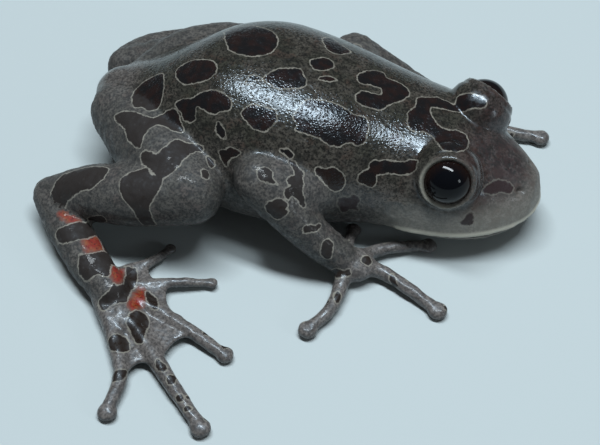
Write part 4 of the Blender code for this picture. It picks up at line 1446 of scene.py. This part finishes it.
def make_eye(name, side, material):
    """An eyeball turned about the line it looks along, its front a little fuller."""
    turn = np.array(head_direction(EYE_AIM, side).to_track_quat("Z", "Y").to_matrix())
    centre = np.array(head_point(EYE_PLACE, side))
    around = np.linspace(0, 2 * np.pi, 4 * SIDES, endpoint=False)
    circle = np.column_stack([np.cos(around), np.sin(around), np.zeros(len(around))])
    rings = []
    for angle in np.radians(np.linspace(*EYE_ENDS, 4 * SIDES)):
        bulge = EYE_BULGE * np.exp(-((angle / np.radians(BULGE_ANGLE)) ** 2))
        ring = np.sin(angle) * circle + np.array((0.0, 0.0, np.cos(angle)))
        rings.append(centre + EYE_RADIUS * (1 + bulge) * ring @ turn.T)
    mesh = bmesh.new()
    add_rings(mesh, rings)
    eye = new_object(name, mesh)
    eye.data.shade_smooth()
    local = (points_of(eye) - centre) @ turn
    reach = np.linalg.norm(local[:, :2] / PUPIL_SIZE, axis=1)
    store(eye, "pupil", np.where(local[:, 2] > 0, PUPIL_SIZE[0] * (reach - 1), FAR))
    eye.data.materials.append(material)
    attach(eye, "root")
    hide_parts(name.replace("ball", ""))


def tree_of(obj):
    """A search tree of the object's faces, in millimetres."""
    faces = [tuple(face.vertices) for face in obj.data.polygons]
    return bvhtree.BVHTree.FromPolygons([tuple(point) for point in points_of(obj)], faces)


def make_floor():
    """A wide, plain, pale floor."""
    mesh = bmesh.new()
    bmesh.ops.create_grid(mesh, x_segments=1, y_segments=1, size=FLOOR_REACH)
    floor = new_object("floor", mesh)
    nodes = Nodes("pale_floor")
    nodes.surface.inputs["Base Color"].default_value = FLOOR_COLOUR
    nodes.surface.inputs["Roughness"].default_value = FLOOR_ROUGHNESS
    floor.data.materials.append(nodes.material)


def add_light(name, place, size, power, turn):
    """A faintly blue rectangular lamp that shines at the frog, turned about its own beam."""
    data = bpy.data.lights.new(name, "AREA")
    data.shape = "RECTANGLE"
    data.size, data.size_y = size
    data.energy = power
    data.color = LAMP_COLOUR
    lamp = bpy.data.objects.new(name, data)
    lamp.location = place
    beam = Vector(place).to_track_quat("Z", "Y")
    lamp.rotation_euler = (beam @ Quaternion((0.0, 0.0, 1.0), np.radians(turn))).to_euler()
    bpy.context.scene.collection.objects.link(lamp)


def make_light():
    """The lamps and an even surrounding glow."""
    for name, lamp in LAMPS.items():
        add_light(name, *lamp)
    world = bpy.data.worlds.new("surroundings")
    bpy.context.scene.world = world
    world.use_nodes = True
    background = world.node_tree.nodes["Background"]
    background.inputs["Color"].default_value = GLOW_COLOUR
    background.inputs["Strength"].default_value = GLOW


def make_camera():
    """The photograph's view, in front of the frog's right side and from above."""
    data = bpy.data.cameras.new("camera")
    data.sensor_width = SENSOR_WIDTH
    data.lens = data.sensor_width * FOCAL_PIXELS / PHOTO_WIDTH
    data.clip_start = NEAREST_SEEN
    camera = bpy.data.objects.new("camera", data)
    right, up, back = camera_axes()
    turn = Matrix((right, up, back)).transposed().to_4x4()
    camera.matrix_world = Matrix.Translation(camera_place() * MM) @ turn
    bpy.context.scene.collection.objects.link(camera)
    bpy.context.scene.camera = camera
    bpy.context.scene.view_settings.view_transform = "Standard"


def make_skin(nodes):
    """The one skin that shows in place of all nodes of flesh."""
    skin, samples, labels = fused_skin()
    settle_creases(skin, nearest_labels(points_of(skin), samples, labels))
    tree = tree_of(skin)
    carve_details(skin, nearest_labels(points_of(skin), samples, labels), tree)
    paint(skin, nearest_labels(points_of(skin), samples, labels), tree)
    skin.data.shade_smooth()
    skin.data.materials.clear()
    skin.data.materials.append(skin_material())
    flesh = [name for name in nodes if not name.endswith("_eye")]
    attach(skin, "root")
    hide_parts(*flesh)


def main():
    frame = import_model()
    make_camera()
    make_light()
    make_floor()
    make_skin(frame["nodes"])
    wet = eye_material()
    make_eye("right_eyeball", -1, wet)
    make_eye("left_eyeball", 1, wet)


main()
